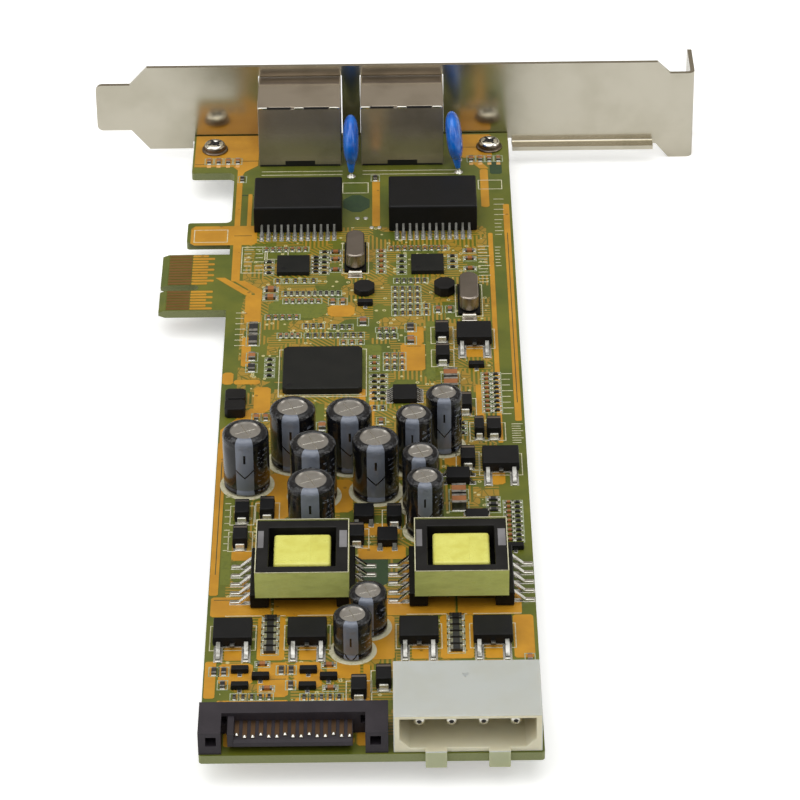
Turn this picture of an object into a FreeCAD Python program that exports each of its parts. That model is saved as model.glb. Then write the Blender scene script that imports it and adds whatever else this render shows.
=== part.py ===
"""Network interface card: two powered-Ethernet ports on a one-lane board with a full-height slot bracket.

Card frame used below: X runs along the bracket from its tongue tip, Y points from the far end of the
board towards the bracket (0 at the bracket's inner face) and Z is up from the board's component face.
Rows of parts follow each other from the bracket down the board, each row starting a clearance after
the one before, so a changed size moves what comes after it.  The stored frame has its origin at the
centre of the bounding box's base.
"""
import FreeCAD, Part
import math
import os
from FreeCAD import Vector

# ---- circuit board ------------------------------------------------------------------------------
board_thickness = 1.57
board_left = 28.0            # left edge, from the bracket's tongue tip
board_gap = 0.3              # board edge to the bracket's inner face
edge_margin = 1.5            # board's right edge to the outermost chip part's centre
board_corner = 0.6
overcut = 1.0                # cutting tools reach this far past what they cut
arm_width = 8.5              # piece beside the left screw
arm_depth = 15.45
hook_width = 8.4             # hook that stands in front of the slot's latch
hook_depth = 7.4
cutout_depth = 19.5          # from the arm to the hook
tongue_gap = 4.6             # from the hook to the contact tongue
cutout_corner = 1.2

# ---- contact tongue (one-lane edge connector) ---------------------------------------------------
tongue_reach = 12.7          # from the board's left edge
lane_far_side = 12.15        # key centre to the bracket side's edge
lane_near_side = 8.15        # key centre to the other edge
key_width = 1.9
key_depth = 7.2
finger_pitch = 1.0
finger_width = 0.7
finger_length = 4.3
finger_inset = 1.4           # bare bevelled edge in front of the fingers
finger_edge = 0.65           # tongue edge to the first finger's centre
finger_plating = 0.05
far_fingers = 11
near_fingers = 7
bevel_depth = 1.2
bevel_height = 0.45

# ---- slot bracket -------------------------------------------------------------------------------
bracket_length = 120.02
bracket_thickness = 0.86
bracket_width = 18.42
bracket_top = 15.5           # upper edge above the component face
foot_width = 10.19           # narrow foot that enters the chassis
foot_step = 3.9              # upper edge steps down to the foot
foot_length = 6.8
foot_taper = 3.6
foot_corner = 1.2
flange_depth = 11.43
flange_width = 19.05
flange_step = 2.54
flange_taper = 2.6
flange_straight = 4.9
flange_corner = 1.5
bend_inside = 0.25
flange_bend = 0.5
notch_width = 4.42
notch_centre = 6.35          # from the bracket's inner face
notch_depth = 5.2
lip_depth = 2.5
lip_margin = 1.0             # board edge to the stiffening lip
lip_end_margin = 0.7         # lip end to the flange's flare
tab_width = 8.0
tab_depth = 9.6
tab_relief = 0.7
left_screw = 4.2             # board's left edge to the left screw, on the arm
right_screw = 3.8            # board's right edge to the right screw
screw_depth = 6.1            # bracket to the screws
screw_shank = 3.0
screw_clearance = 0.1
screw_head = 5.2
screw_head_height = 1.7
screw_tip = 0.7
screw_head_sides = 24
screw_shank_sides = 12

# ---- modular jacks ------------------------------------------------------------------------------
jack_width = 16.3
jack_height = 13.2
jack_depth = 14.7
jack_protrusion = 0.8        # in front of the bracket's outer face
jack_margin = 4.85           # board's left edge to the first jack
port_gap = 4.0
shield_wall = 0.25
jack_clearance = 0.2         # round the shield in the bracket
shield_post_width = 1.3
shield_post_length = 2.6
shield_slot_clearance = 0.15
rear_slot_width = 5.8
rear_slot_height = 0.9
rear_gap = 0.35
seam_slot_width = 4.9
seam_slot_depth = 0.4
seam_tab = 2.0
port_width = 11.9
port_height = 6.9
port_depth = 12.4
latch_width = 6.4
latch_drop = 1.9             # port's floor to the latch's step
latch_setback = 2.0          # port's end to the latch's step
contact_pitch = 1.02
contact_width = 0.4
contact_thickness = 0.3
contact_count = 8
contact_drop = 2.0
contact_setback = 1.6        # port's mouth to the springs
contact_flat = 1.0           # level run before a spring slopes down
contact_end_gap = 1.2        # springs to the port's end
pin_hole_clearance = 0.2
solder_pin = 0.45
solder_reach = 1.3           # pins below the board
lens_width = 3.0
lens_height = 1.9
lens_depth = 3.0
lens_edge = 0.35
lens_gap = 0.7               # port's roof to the lenses

# ---- disc capacitors ----------------------------------------------------------------------------
disc_diameter = 10.0
disc_sides = 24              # facets round the disc
disc_thickness = 2.8
disc_lift = 1.9              # board to the disc's rim
disc_setback = 1.8           # jack's rear to the disc's centre
disc_lead_pitch = 5.0
disc_lead = 0.6
disc_rim = 1.1
disc_lean = 7.0              # degrees, second disc only
disc_gap = 1.9               # second jack to the second disc's foot

# ---- magnetics modules --------------------------------------------------------------------------
magnetics_width = 17.0
magnetics_depth = 12.1
magnetics_height = 5.6
magnetics_pitch = 26.05
magnetics_gap = 10.9         # jack to the modules' far feet
magnetics_leads = 12
magnetics_lead_pitch = 1.27
magnetics_lead_width = 0.5
magnetics_lead_exit = 1.7
magnetics_lead_reach = 3.0

# ---- chips --------------------------------------------------------------------------------------
lead_thickness = 0.2
controller_size = 6.2
controller_height = 0.9
controller_clearance = 6.9   # modules' feet to the controllers
crystal_length = 9.8
crystal_width = 3.5
crystal_height = 3.5
crystal_base_height = 0.5
crystal_base_margin = 0.35
bridge_size = 14.4
bridge_height = 1.35
bridge_corner = 0.7
bridge_clearance = 2.5       # last small parts to the bridge chip

# ---- electrolytic capacitors --------------------------------------------------------------------
large_can_diameter = 8.0
large_can_height = 11.5
small_can_diameter = 6.3
small_can_height = 11.5
low_can_height = 7.6
can_shoulder = 0.6
can_sides = 24               # facets round a can
low_can_gap = 0.57           # between the two low cans
low_can_heading = 248.7      # degrees, from the first low can to the second
large_lead_pitch = 3.5
small_lead_pitch = 2.5
joint_radius = 0.9           # solder joints under the board
joint_tip = 0.35
joint_height = 1.3

# ---- transformers -------------------------------------------------------------------------------
core_width = 15.3
core_depth = 15.3
core_height = 4.65
core_leg = 2.05
core_base = 3.2              # board to the core
transformer_edge = 0.2       # second transformer's feet to the board's right edge
transformer_gap = 2.2        # between the two transformers' feet
band_height = 5.05
band_thickness = 0.12
winding_width = 9.5
winding_depth = 8.8
winding_drop = 0.5           # winding's top below the core's
bobbin_height = 3.0
bobbin_lift = 0.2
bobbin_plate = 0.9
bobbin_width = 17.4
bobbin_depth = 13.6
transformer_leads = 5
transformer_lead_pitch = 2.54
transformer_lead_width = 0.8
transformer_lead_thickness = 0.4
transformer_lead_exit = 1.7
transformer_lead_reach = 3.4
transformer_clearance = 2.9  # capacitors to the cores

# ---- power transistors --------------------------------------------------------------------------
dpak_width = 6.5
dpak_depth = 5.7
dpak_height = 2.3
dpak_tab_width = 5.2
dpak_tab_length = 1.0
dpak_tab_thickness = 0.5
dpak_tab_start = 0.6         # body's leg side to the tab
dpak_leg_pitch = 2.28
dpak_leg_width = 0.8
dpak_leg_thickness = 0.5
dpak_leg_reach = 3.4
dpak_stub = 0.9

# ---- diodes and small chips ---------------------------------------------------------------------
sma_width = 2.6
sma_body = 4.2
sma_height = 2.2
sma_overall = 5.0
sma_lead_width = 1.5
sot_width = 2.9
sot_depth = 1.3
sot_height = 1.0
sot_leg = 0.45
sot_leg_reach = 0.6
sot_leg_pitch = 0.95

# ---- drive-style power plug ---------------------------------------------------------------------
plug_height = 4.2
plug_depth = 8.1
plug_wall = 2.9              # body behind the blade
plug_ear = 3.6
blade_margin = 5.6           # plug's side to the blade
blade_contact_margin = 0.11  # blade's side to its first contact
blade_floor = 1.2
blade_thickness = 1.4
blade_key = 1.0
blade_key_height = 1.0
blade_key_setback = 0.4
plug_contacts = 15
plug_contact_pitch = 1.27
plug_contact_width = 0.7
plug_contact_thickness = 0.1
contact_tip = 0.7            # blade's edge to a contact's tip
late_contact_tip = 1.2       # and to every third one's
plug_tail = 2.0
tail_recess_depth = 1.0
tail_recess_height = 1.0     # under the rear body, over the tails
ear_hole = 1.7
ear_hole_depth = 3.0

# ---- four-pin power header ----------------------------------------------------------------------
header_side = 4.08           # header's side to its first pin
header_height = 7.2
header_depth = 14.4
header_wall = 0.95
header_roof = 0.7
header_floor = 0.9
header_back = 3.2
header_chamfer = 1.6
header_side_gap = 0.4        # header to the board's right edge
connector_gap = 0.8          # plug to the header
header_setback = 0.3         # board's end to the header's face
header_pins = 4
header_pin_pitch = 5.08
header_pin_sides = 12
header_pin_diameter = 2.1
header_pin_height = 3.8
header_pin_setback = 2.8
header_tail_setback = 2.0    # header's rear wall to the tails
hook_tab_width = 3.4
hook_tab_thickness = 0.8
hook_tab_drop = 2.3
hook_tab_pitch = 10.0

transistor_clearance = 3.3   # transformers' cores to the transistors' row
header_clearance = 9.85      # transistors' legs to the header

# ---- chip sizes: length, width, height ----------------------------------------------------------
SIZE_0402 = (1.0, 0.5, 0.4)
SIZE_0603 = (1.6, 0.8, 0.5)
SIZE_0805 = (2.0, 1.25, 0.65)
SIZE_1206 = (3.2, 1.6, 0.6)
SIZE_1210 = (2.5, 2.7, 1.7)

# Rows of chip parts: (size, x from the board's left edge, y of the first one from the zone's start, count,
# step x, step y, turned).  A turned part has its long side along Y.  across() spreads all these places
# over the board's width, so that the outermost one stays edge_margin from its right edge.
PORT_CAPACITORS = [
    (SIZE_0603, -5.2, -10.9, 4, 1.9, 0, True),
    (SIZE_0603, 47.0, -10.9, 4, 1.8, 0, True),
]
PORT_RESISTORS = [
    (SIZE_0603, 1.6, -18.2, 1, 0, 0, True),
    (SIZE_0603, 27.9, -18.3, 1, 0, 0, True),
]
CONTROLLER_CAPACITORS = [
    (SIZE_0402, 7.0, -3.4, 7, 1.25, 0, True),
    (SIZE_0402, 30.9, -3.4, 9, 1.3, 0, True),
    (SIZE_0603, 20.3, -4.7, 1, 0, 0, False),
    (SIZE_0603, 20.3, -7.4, 1, 0, 0, False),
    (SIZE_0603, 20.3, -11.3, 1, 0, 0, False),
    (SIZE_0603, 45.9, -4.7, 1, 0, 0, False),
    (SIZE_0603, 45.9, -7.6, 1, 0, 0, False),
    (SIZE_0603, 45.9, -11.3, 1, 0, 0, False),
    (SIZE_0402, 29.0, -4.4, 5, 0, -1.9, False),
    (SIZE_0805, 8.2, -18.3, 2, 0, -2.8, False),
    (SIZE_0402, 11.2, -22.4, 6, 1.2, 0, True),
    (SIZE_0603, 19.9, -22.7, 2, 1.9, 0, True),
    (SIZE_0603, 39.6, -25.9, 2, 2.2, 0, True),
    (SIZE_0402, 8.0, -28.0, 5, 1.3, 0, True),
    (SIZE_0402, 10.4, -34.5, 4, 1.05, 0, True),
    (SIZE_0805, 25.6, -30.0, 1, 0, 0, True),
    (SIZE_0402, 22.0, -37.0, 3, 1.6, 0, True),
    (SIZE_0402, 28.6, -32.9, 3, 1.3, 0, True),
    (SIZE_0805, 34.4, -36.7, 1, 0, 0, True),
]
CONTROLLER_RESISTORS = [
    (SIZE_0402, 18.2, -4.6, 5, 0, -1.9, False),
    (SIZE_0402, 16.6, -6.6, 5, 0, -1.3, False),
    (SIZE_0402, 7.7, -8.1, 3, 0, -2.0, False),
    (SIZE_0402, 42.6, -6.6, 3, 0, -2.0, False),
    (SIZE_0402, 32.9, -6.4, 4, 0, -2.0, False),
    (SIZE_0402, 9.4, -15.1, 5, 1.7, 0, True),
    (SIZE_0402, 32.0, -15.4, 5, 1.3, 0, True),
    (SIZE_0402, 11.0, -19.7, 10, 1.1, 0, True),
    (SIZE_0402, 31.6, -18.3, 4, 1.4, 0, True),
    (SIZE_0402, 31.6, -20.5, 4, 1.4, 0, True),
    (SIZE_0402, 31.6, -22.7, 4, 1.4, 0, True),
    (SIZE_0402, 31.6, -24.9, 4, 1.4, 0, True),
    (SIZE_0402, 31.6, -27.1, 4, 1.4, 0, True),
    (SIZE_0402, 37.4, -24.6, 2, 0, -2.4, True),
    (SIZE_0402, 15.0, -31.3, 3, 1.4, 0, True),
    (SIZE_0402, 20.3, -31.7, 3, 1.4, 0, True),
    (SIZE_0402, 15.4, -34.6, 8, 1.4, 0, True),
    (SIZE_0402, 28.8, -35.1, 3, 1.3, 0, True),
    (SIZE_0805, 34.4, -32.3, 1, 0, 0, True),
    (SIZE_1206, 5.3, -31.9, 2, 0, -4.1, True),
]
BRIDGE_CAPACITORS = [
    (SIZE_0805, 5.3, -1.6, 1, 0, 0, True),
    (SIZE_1210, 41.5, -9.7, 2, 0, -3.2, False),
    (SIZE_0402, 27.7, -2.2, 3, 0, -2.0, False),
    (SIZE_0402, 30.0, -1.5, 3, 1.4, 0, True),
    (SIZE_0402, 30.0, -3.6, 3, 1.4, 0, True),
    (SIZE_0402, 48.0, -8.4, 9, 0, -1.5, False),
]
BRIDGE_RESISTORS = [
    (SIZE_0805, 5.3, -5.4, 1, 0, 0, True),
    (SIZE_0402, 8.6, -2.6, 4, 0, -1.8, False),
    (SIZE_0402, 30.0, -5.8, 3, 1.4, 0, True),
    (SIZE_0402, 27.7, -8.5, 5, 0, -1.9, False),
    (SIZE_0402, 29.2, -8.5, 5, 0, -1.9, False),
    (SIZE_0402, 49.7, -8.4, 9, 0, -1.5, False),
]
SUPPLY_CAPACITORS = [
    (SIZE_0805, 18.4, -10.6, 1, 0, 0, True),
    (SIZE_0603, 6.6, -7.4, 2, 1.7, 0, True),
    (SIZE_0603, 28.9, -9.1, 1, 0, 0, True),
    (SIZE_1210, 42.3, -32.6, 2, 0, -3.2, False),
    (SIZE_0402, 50.8, -35.0, 9, 0, -1.4, False),
]
SUPPLY_RESISTORS = [
    (SIZE_0402, 27.7, -4.7, 2, 1.5, 0, True),
    (SIZE_0402, 43.3, -10.0, 3, 0, -1.6, False),
    (SIZE_0402, 52.3, -35.0, 9, 0, -1.4, False),
    (SIZE_0603, 48.2, -34.0, 3, 0, -1.6, False),
]
TRANSISTOR_RESISTORS = [
    (SIZE_0805, 10.6, -2.1, 6, 0, -1.75, False),
    (SIZE_0805, 41.1, -2.1, 6, 0, -1.75, False),
    (SIZE_0603, 1.7, -16.2, 2, 1.6, 0, True),
    (SIZE_0603, 3.2, -19.8, 1, 0, 0, True),
    (SIZE_0603, 12.6, -16.0, 2, 1.6, 0, True),
    (SIZE_0603, 14.2, -20.0, 1, 0, 0, True),
    (SIZE_0402, 5.2, -23.0, 5, 1.4, 0, True),
    (SIZE_0402, 16.4, -23.2, 5, 1.4, 0, True),
]
TRANSISTOR_CAPACITORS = [
    (SIZE_0603, 9.5, -14.4, 1, 0, 0, False),
    (SIZE_0603, 20.3, -14.8, 1, 0, 0, False),
    (SIZE_0603, 10.4, -20.9, 1, 0, 0, False),
    (SIZE_0603, 20.6, -20.9, 1, 0, 0, False),
    (SIZE_0603, 53.0, -13.4, 1, 0, 0, True),
]

# Places of larger parts: (x from the board's left edge, y from the zone's start)
CONTROLLERS = [12.3, 37.8]
BRIDGE = 18.3
CRYSTALS = [(24.1, -6.9), (45.4, -22.8)]
INDUCTORS = [(25.8, -18.9, 3.9, 4.3, 1.3), (40.9, -19.4, 3.9, 4.2, 2.0)]
BLOCK_INDUCTORS = [(2.8, -2.3, 3.7, 3.3, 2.0), (2.8, -5.9, 3.7, 3.3, 2.0)]
LARGE_CANS = [(5.6, -28.6), (13.6, -21.4), (23.4, -22.0), (17.3, -32.3), (28.0, -31.1), (17.1, -43.9)]
SMALL_CANS = [(34.7, -23.6), (40.0, -17.2), (35.7, -35.6), (36.4, -43.2)]
FIRST_LOW_CAN = (26.7, -4.5)
DPAK_ROW = [4.5, 16.7, 35.0, 47.1]
CONTROLLER_SOT = [(26.0, -23.8)]
BRIDGE_DPAK = (46.1, 3.8)
BRIDGE_SMA = [(40.2, 5.2), (40.2, -2.7)]
BRIDGE_SOT = [(46.3, -5.6)]
SUPPLY_DPAK = (49.8, -23.2)
SUPPLY_SMA = [(43.9, -4.8), (48.9, -12.8), (44.1, -22.1), (5.0, -38.0), (4.9, -45.8), (9.3, -37.2),
              (31.1, -39.7), (24.7, -45.3)]
SUPPLY_SOT = [(51.6, -48.6)]
NARROW_DIODE = [(46.3, -12.7)]
TRANSISTOR_SMA = [(25.2, -21.9), (29.2, -19.2)]
TRANSISTOR_SOT = [(5.9, -16.2), (9.3, -18.0), (6.0, -20.5), (17.0, -16.4), (20.3, -18.2), (16.9, -20.7)]

# Small moulded packages: body along X, body along Y, height, leads a side, pitch, lead width, reach
TSSOP = (4.4, 5.0, 1.1, 7, 0.65, 0.3, 1.0)
SOIC = (4.9, 3.9, 1.5, 4, 1.27, 0.4, 1.0)
RECTIFIER = (4.1, 3.5, 1.6, 2, 2.5, 0.7, 0.9)
TWO_ROW_CHIPS = [(TSSOP, 33.2, -0.9, False), (SOIC, 45.3, -41.0, True), (RECTIFIER, 25.9, -38.8, True),
                 (RECTIFIER, 29.9, -45.9, True), (RECTIFIER, 42.3, -27.6, False)]
BLOCK_CORNER = 0.5
DRUM_CORNER = 1.2
NARROW_WIDTH = 1.8


# ---- derived levels and rows --------------------------------------------------------------------
blade_width = (plug_contacts - 1) * plug_contact_pitch + plug_contact_width + 2 * blade_contact_margin
plug_width = blade_width + 2 * blade_margin
header_width = (header_pins - 1) * header_pin_pitch + 2 * header_side
board_width = plug_width + connector_gap + header_width + header_side_gap
board_under = -board_thickness
board_right = board_left + board_width
board_far = -board_gap


def span_of(rows):
    """Distance from the board's left edge to the last chip part in the rows."""
    return max(x + step_x * (count - 1) for _, x, _, count, step_x, _, _ in rows)


table_span = span_of(PORT_CAPACITORS + BRIDGE_RESISTORS + SUPPLY_RESISTORS + TRANSISTOR_CAPACITORS)


def across(x):
    """Place on the board for an x of the tables; what lies on the arm keeps its distance."""
    return board_left + (x * (board_width - edge_margin) / table_span if x > 0 else x)


def reach_of(rows):
    """Depth of the deepest chip part in the rows, from the zone's start."""
    depth = 0.0
    for size, _, y, count, _, step_y, turned in rows:
        half = (size[0] if turned else size[1]) / 2
        depth = max(depth, -(y + step_y * (count - 1)) + half)
    return depth


lens_level = jack_height - shield_wall - lens_edge - lens_height
port_roof = lens_level - lens_gap
port_floor = port_roof - port_height
latch_floor = port_floor - latch_drop

jack_front = bracket_thickness + jack_protrusion
jack_rear = jack_front - jack_depth
jack_centres = [board_left + jack_margin + jack_width / 2]
jack_centres.append(jack_centres[0] + jack_width + port_gap)

magnetics_half = magnetics_depth / 2 + magnetics_lead_reach
magnetics_y = jack_rear - magnetics_gap - magnetics_half
magnetics_centres = [jack_centres[0], jack_centres[0] + magnetics_pitch]

controller_zone = magnetics_y - magnetics_half
controller_y = controller_zone - controller_clearance - controller_size / 2
controller_centres = [across(x) for x in CONTROLLERS]

bridge_zone = controller_zone - reach_of(CONTROLLER_CAPACITORS + CONTROLLER_RESISTORS) - bridge_clearance
bridge_x = across(BRIDGE)
bridge_y = bridge_zone - bridge_size / 2

supply_zone = bridge_zone - bridge_size
deepest_can = -min(y for _, y in LARGE_CANS)
transformer_far = supply_zone - deepest_can - large_can_diameter / 2 - transformer_clearance
transformer_y = transformer_far - core_depth / 2
transformer_half = bobbin_width / 2 + transformer_lead_reach
transformer_2_x = board_right - transformer_edge - transformer_half
transformer_centres = [transformer_2_x - 2 * transformer_half - transformer_gap, transformer_2_x]

transistor_zone = transformer_far - core_depth
dpak_row_y = transistor_zone - transistor_clearance - dpak_tab_length - dpak_depth / 2
dpak_feet = dpak_row_y - dpak_depth / 2 - dpak_leg_reach
header_far = dpak_feet - header_clearance
header_front = header_far - header_depth
board_near = header_front - header_setback

finger_key = board_far + board_gap - arm_depth - cutout_depth - hook_depth - tongue_gap - lane_far_side

large_can_places = [(across(x), supply_zone + y) for x, y in LARGE_CANS]
small_can_places = [(across(x), supply_zone + y) for x, y in SMALL_CANS]
low_can_step = small_can_diameter + low_can_gap
low_can_turn = math.radians(low_can_heading)
low_can_places = [(across(FIRST_LOW_CAN[0]), transistor_zone + FIRST_LOW_CAN[1])]
low_can_places.append((low_can_places[0][0] + low_can_step * math.cos(low_can_turn),
                       low_can_places[0][1] + low_can_step * math.sin(low_can_turn)))

header_right = board_right - header_side_gap
header_x = header_right - header_width / 2
header_pin_places = [header_x + header_pin_pitch * (i - (header_pins - 1) / 2) for i in range(header_pins)]
header_tail_y = header_far + header_tail_setback
plug_far = board_near + header_setback + plug_depth
plug_front = plug_far - plug_depth
plug_left = board_left
screw_places = [(board_left - left_screw, -screw_depth), (board_right - right_screw, -screw_depth)]

bracket_low = bracket_top - bracket_width
flange_top = bracket_top - flange_step
flange_low = flange_top - flange_width
overall_near = header_front - hook_tab_thickness - header_setback
ORIGIN = Vector(bracket_length / 2, (flange_depth + overall_near) / 2, flange_low)


# ---- shape helpers ------------------------------------------------------------------------------
def box(x0, x1, y0, y1, z0, z1):
    """Box between two corners."""
    return Part.makeBox(x1 - x0, y1 - y0, z1 - z0, Vector(x0, y0, z0))


def block(x, y, size_x, size_y, z0, z1):
    """Box centred on x, y."""
    return box(x - size_x / 2, x + size_x / 2, y - size_y / 2, y + size_y / 2, z0, z1)


def cylinder(x, y, radius, z0, z1):
    """Upright cylinder."""
    return Part.makeCylinder(radius, z1 - z0, Vector(x, y, z0))


def prism(points, along):
    """Closed polygon of vectors, swept by the vector `along`."""
    return Part.Face(Part.makePolygon(points + points[:1])).extrude(along)


def faceted(x, y, radius, z0, z1, sides=6):
    """Upright rod with flat sides, for what repeats or is too small to need a round face."""
    turns = [2 * math.pi * i / sides for i in range(sides)]
    return prism([Vector(x + radius * math.cos(t), y + radius * math.sin(t), z0) for t in turns],
                 Vector(0, 0, z1 - z0))


def tapered(x, y, low_size, high_size, z0, z1):
    """Square block that widens from low_size to high_size."""
    low, high = low_size / 2, high_size / 2
    shape = Part.makeWedge(-low, z0, -low, -high, -high, low, z1, low, high, high)
    shape.rotate(Vector(0, 0, 0), Vector(1, 0, 0), 90)
    shape.translate(Vector(x, y, 0))
    return shape


def upright_edges(shape, places):
    """Vertical edges of the shape that stand at the given (x, y) places."""
    found = []
    for edge in shape.Edges:
        ends = [v.Point for v in edge.Vertexes]
        if len(ends) == 2 and abs(ends[0].x - ends[1].x) + abs(ends[0].y - ends[1].y) < 1e-6:
            if any(math.hypot(ends[0].x - x, ends[0].y - y) < 1e-4 for x, y in places):
                found.append(edge)
    return found


def corners(x, y, size_x, size_y):
    """The four corner places of a rectangle."""
    return [(x + sx * size_x / 2, y + sy * size_y / 2) for sx in (-1, 1) for sy in (-1, 1)]


def cornered_block(x, y, size_x, size_y, z0, z1, corner):
    """Block with bevelled upright edges."""
    shape = block(x, y, size_x, size_y, z0, z1)
    return shape.makeChamfer(corner, upright_edges(shape, corners(x, y, size_x, size_y)))


def moulded(x, y, size_x, size_y, height, base=0.0):
    """Moulded package: widest at its parting line, drawn in above and below it."""
    draft = min(0.1, height / 12)
    wires = []
    for z, inset in ((base, draft), (base + height * 0.45, 0), (base + height, draft)):
        half_x = size_x / 2 - inset
        half_y = size_y / 2 - inset
        loop = [Vector(x - half_x, y - half_y, z), Vector(x + half_x, y - half_y, z),
                Vector(x + half_x, y + half_y, z), Vector(x - half_x, y + half_y, z)]
        wires.append(Part.makePolygon(loop + loop[:1]))
    return Part.makeLoft(wires, True, True)


def strip(profile, width, x, y, heading):
    """Flat strip bent along (outward, z) points, `width` wide, leaving x, y in the heading in degrees."""
    points = [Vector(u, -width / 2, z) for u, z in profile]
    shape = prism(points, Vector(0, width, 0))
    shape.rotate(Vector(0, 0, 0), Vector(0, 0, 1), heading)
    shape.translate(Vector(x, y, 0))
    return shape


def gull_wing(exit_z, reach, thickness, width, x, y, heading):
    """Lead that leaves a body at exit_z, slopes down and ends in a foot on the board."""
    knee = reach * 0.45
    profile = [(0, exit_z - thickness / 2), (knee, 0), (reach, 0), (reach, thickness),
               (knee + thickness, thickness), (0, exit_z + thickness)]
    return strip(profile, width, x, y, heading)


def lead_rows(x, y, size_x, count, pitch, exit_z, reach, thickness, width):
    """Gull-wing leads on both X sides of a body."""
    leads = []
    for i in range(int(count)):
        offset = pitch * (i - (count - 1) / 2)
        leads.append(gull_wing(exit_z, reach, thickness, width, x + size_x / 2, y + offset, 0))
        leads.append(gull_wing(exit_z, reach, thickness, width, x - size_x / 2, y + offset, 180))
    return leads


def chip_parts(rows, zone):
    """Chip parts of the rows, standing on the board."""
    parts = []
    for size, x, y, count, step_x, step_y, is_turned in rows:
        length, width, height = size
        size_x, size_y = (width, length) if is_turned else (length, width)
        for i in range(int(count)):
            parts.append(block(across(x + i * step_x), zone + y + i * step_y, size_x, size_y, 0, height))
    return parts


def placed(places, zone):
    """Places of a table on the board, from the zone's start."""
    return [(across(x), zone + y) for x, y in places]


def group(shapes):
    """Separate solids kept together in one node."""
    return Part.makeCompound(shapes)


# ---- board and bracket --------------------------------------------------------------------------
def lead_places(cans, pitch):
    """Places of the two leads under each capacitor."""
    return [(x + side * pitch / 2, y) for x, y in cans for side in (-1, 1)]


def can_leads():
    """All leads of the electrolytic capacitors."""
    return (lead_places(large_can_places, large_lead_pitch)
            + lead_places(small_can_places + low_can_places, small_lead_pitch))


def disc_places():
    """Feet centres of the two disc capacitors."""
    between = (jack_centres[0] + jack_centres[1]) / 2
    beyond = jack_centres[1] + jack_width / 2 + disc_gap
    return [(between, jack_rear - disc_setback), (beyond, jack_rear - disc_setback + 1.2)]


def jack_pins(centre):
    """Places of one jack's solder pins, in two staggered rows."""
    places = []
    for i in range(contact_count):
        row = jack_rear + (2.6 if i % 2 else 5.1)
        places.append((centre + contact_pitch * (i - (contact_count - 1) / 2), row))
    return places


def shield_posts(centre):
    """X range of each of a shield's two board posts."""
    half = jack_width / 2
    return [(centre - half, centre - half + shield_wall), (centre + half - shield_wall, centre + half)]


def shield_post_y():
    """Y centre of the shield's posts."""
    return jack_rear + jack_depth * 0.45


def circuit_board():
    """Board with arm, hook and contact tongue, pierced for posts, port pins and screws.

    The holes of the round wires are filled with solder, so they aren't cut.
    """
    arm_near = -arm_depth
    hook_far = arm_near - cutout_depth
    hook_near = hook_far - hook_depth
    tongue_far = hook_near - tongue_gap
    tongue_near = tongue_far - lane_far_side - lane_near_side
    arm_left = board_left - arm_width
    hook_left = board_left - hook_width
    tongue_left = board_left - tongue_reach
    shape = box(board_left, board_right, board_near, board_far, board_under, 0)
    for left, near, far in ((arm_left, arm_near, board_far), (hook_left, hook_near, hook_far),
                            (tongue_left, tongue_near, tongue_far)):
        shape = shape.fuse(box(left, board_left, near, far, board_under, 0))
    shape = shape.removeSplitter()
    inner = upright_edges(shape, [(board_left, arm_near), (board_left, hook_far)])
    shape = shape.makeFillet(cutout_corner, inner)
    outer = [(arm_left, arm_near), (hook_left, hook_far), (hook_left, hook_near), (board_left, board_near),
             (board_right, board_near)]
    shape = shape.makeFillet(board_corner, upright_edges(shape, outer))
    key_centre = tongue_far - lane_far_side
    key_end = tongue_left + key_depth
    below, above = board_under - overcut, overcut
    key = box(tongue_left - overcut, key_end - key_width / 2, key_centre - key_width / 2,
              key_centre + key_width / 2, below, above)
    key = key.fuse(cylinder(key_end - key_width / 2, key_centre, key_width / 2, below, above))
    tools = [key]
    for level, away in ((0, 1), (board_under, -1)):
        start = tongue_near - overcut
        wedge = [Vector(tongue_left - overcut, start, level + away * overcut),
                 Vector(tongue_left + bevel_depth, start, level + away * overcut),
                 Vector(tongue_left + bevel_depth, start, level),
                 Vector(tongue_left, start, level - away * bevel_height),
                 Vector(tongue_left - overcut, start, level - away * bevel_height)]
        tools.append(prism(wedge, Vector(0, lane_far_side + lane_near_side + 2 * overcut, 0)))
    for x, y in screw_places:
        tools.append(cylinder(x, y, screw_shank / 2 + screw_clearance, below, above))
    pin_hole = solder_pin + pin_hole_clearance
    for centre in jack_centres:
        tools += [block(x, y, pin_hole, pin_hole, below, above) for x, y in jack_pins(centre)]
        for x0, x1 in shield_posts(centre):
            half = shield_post_width / 2 + shield_slot_clearance
            middle = shield_post_y()
            tools.append(box(x0 - shield_slot_clearance, x1 + shield_slot_clearance, middle - half,
                             middle + half, below, above))
    return shape.cut(tools)


def edge_contacts():
    """Plated fingers on both faces of the contact tongue."""
    left = board_left - tongue_reach + finger_inset
    rows = [finger_key + lane_far_side - finger_edge - finger_pitch * i for i in range(far_fingers)]
    rows += [finger_key - lane_near_side + finger_edge + finger_pitch * i for i in range(near_fingers)]
    fingers = []
    for y in rows:
        low, high = y - finger_width / 2, y + finger_width / 2
        fingers.append(box(left, left + finger_length, low, high, 0, finger_plating))
        fingers.append(box(left, left + finger_length, low, high, board_under - finger_plating, board_under))
    return group(fingers)


def sheet_bend(inside, x0, x1, centre_y, centre_z):
    """Quarter bend of the bracket's sheet about X, from upright to flat towards the board."""
    outside = inside + bracket_thickness
    ring = Part.makeCylinder(outside, x1 - x0, Vector(x0, centre_y, centre_z), Vector(1, 0, 0))
    bore = Part.makeCylinder(inside, x1 - x0, Vector(x0, centre_y, centre_z), Vector(1, 0, 0))
    quarter = box(x0, x1, centre_y, centre_y + outside, centre_z - outside, centre_z)
    return ring.cut(bore).common(quarter)


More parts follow.
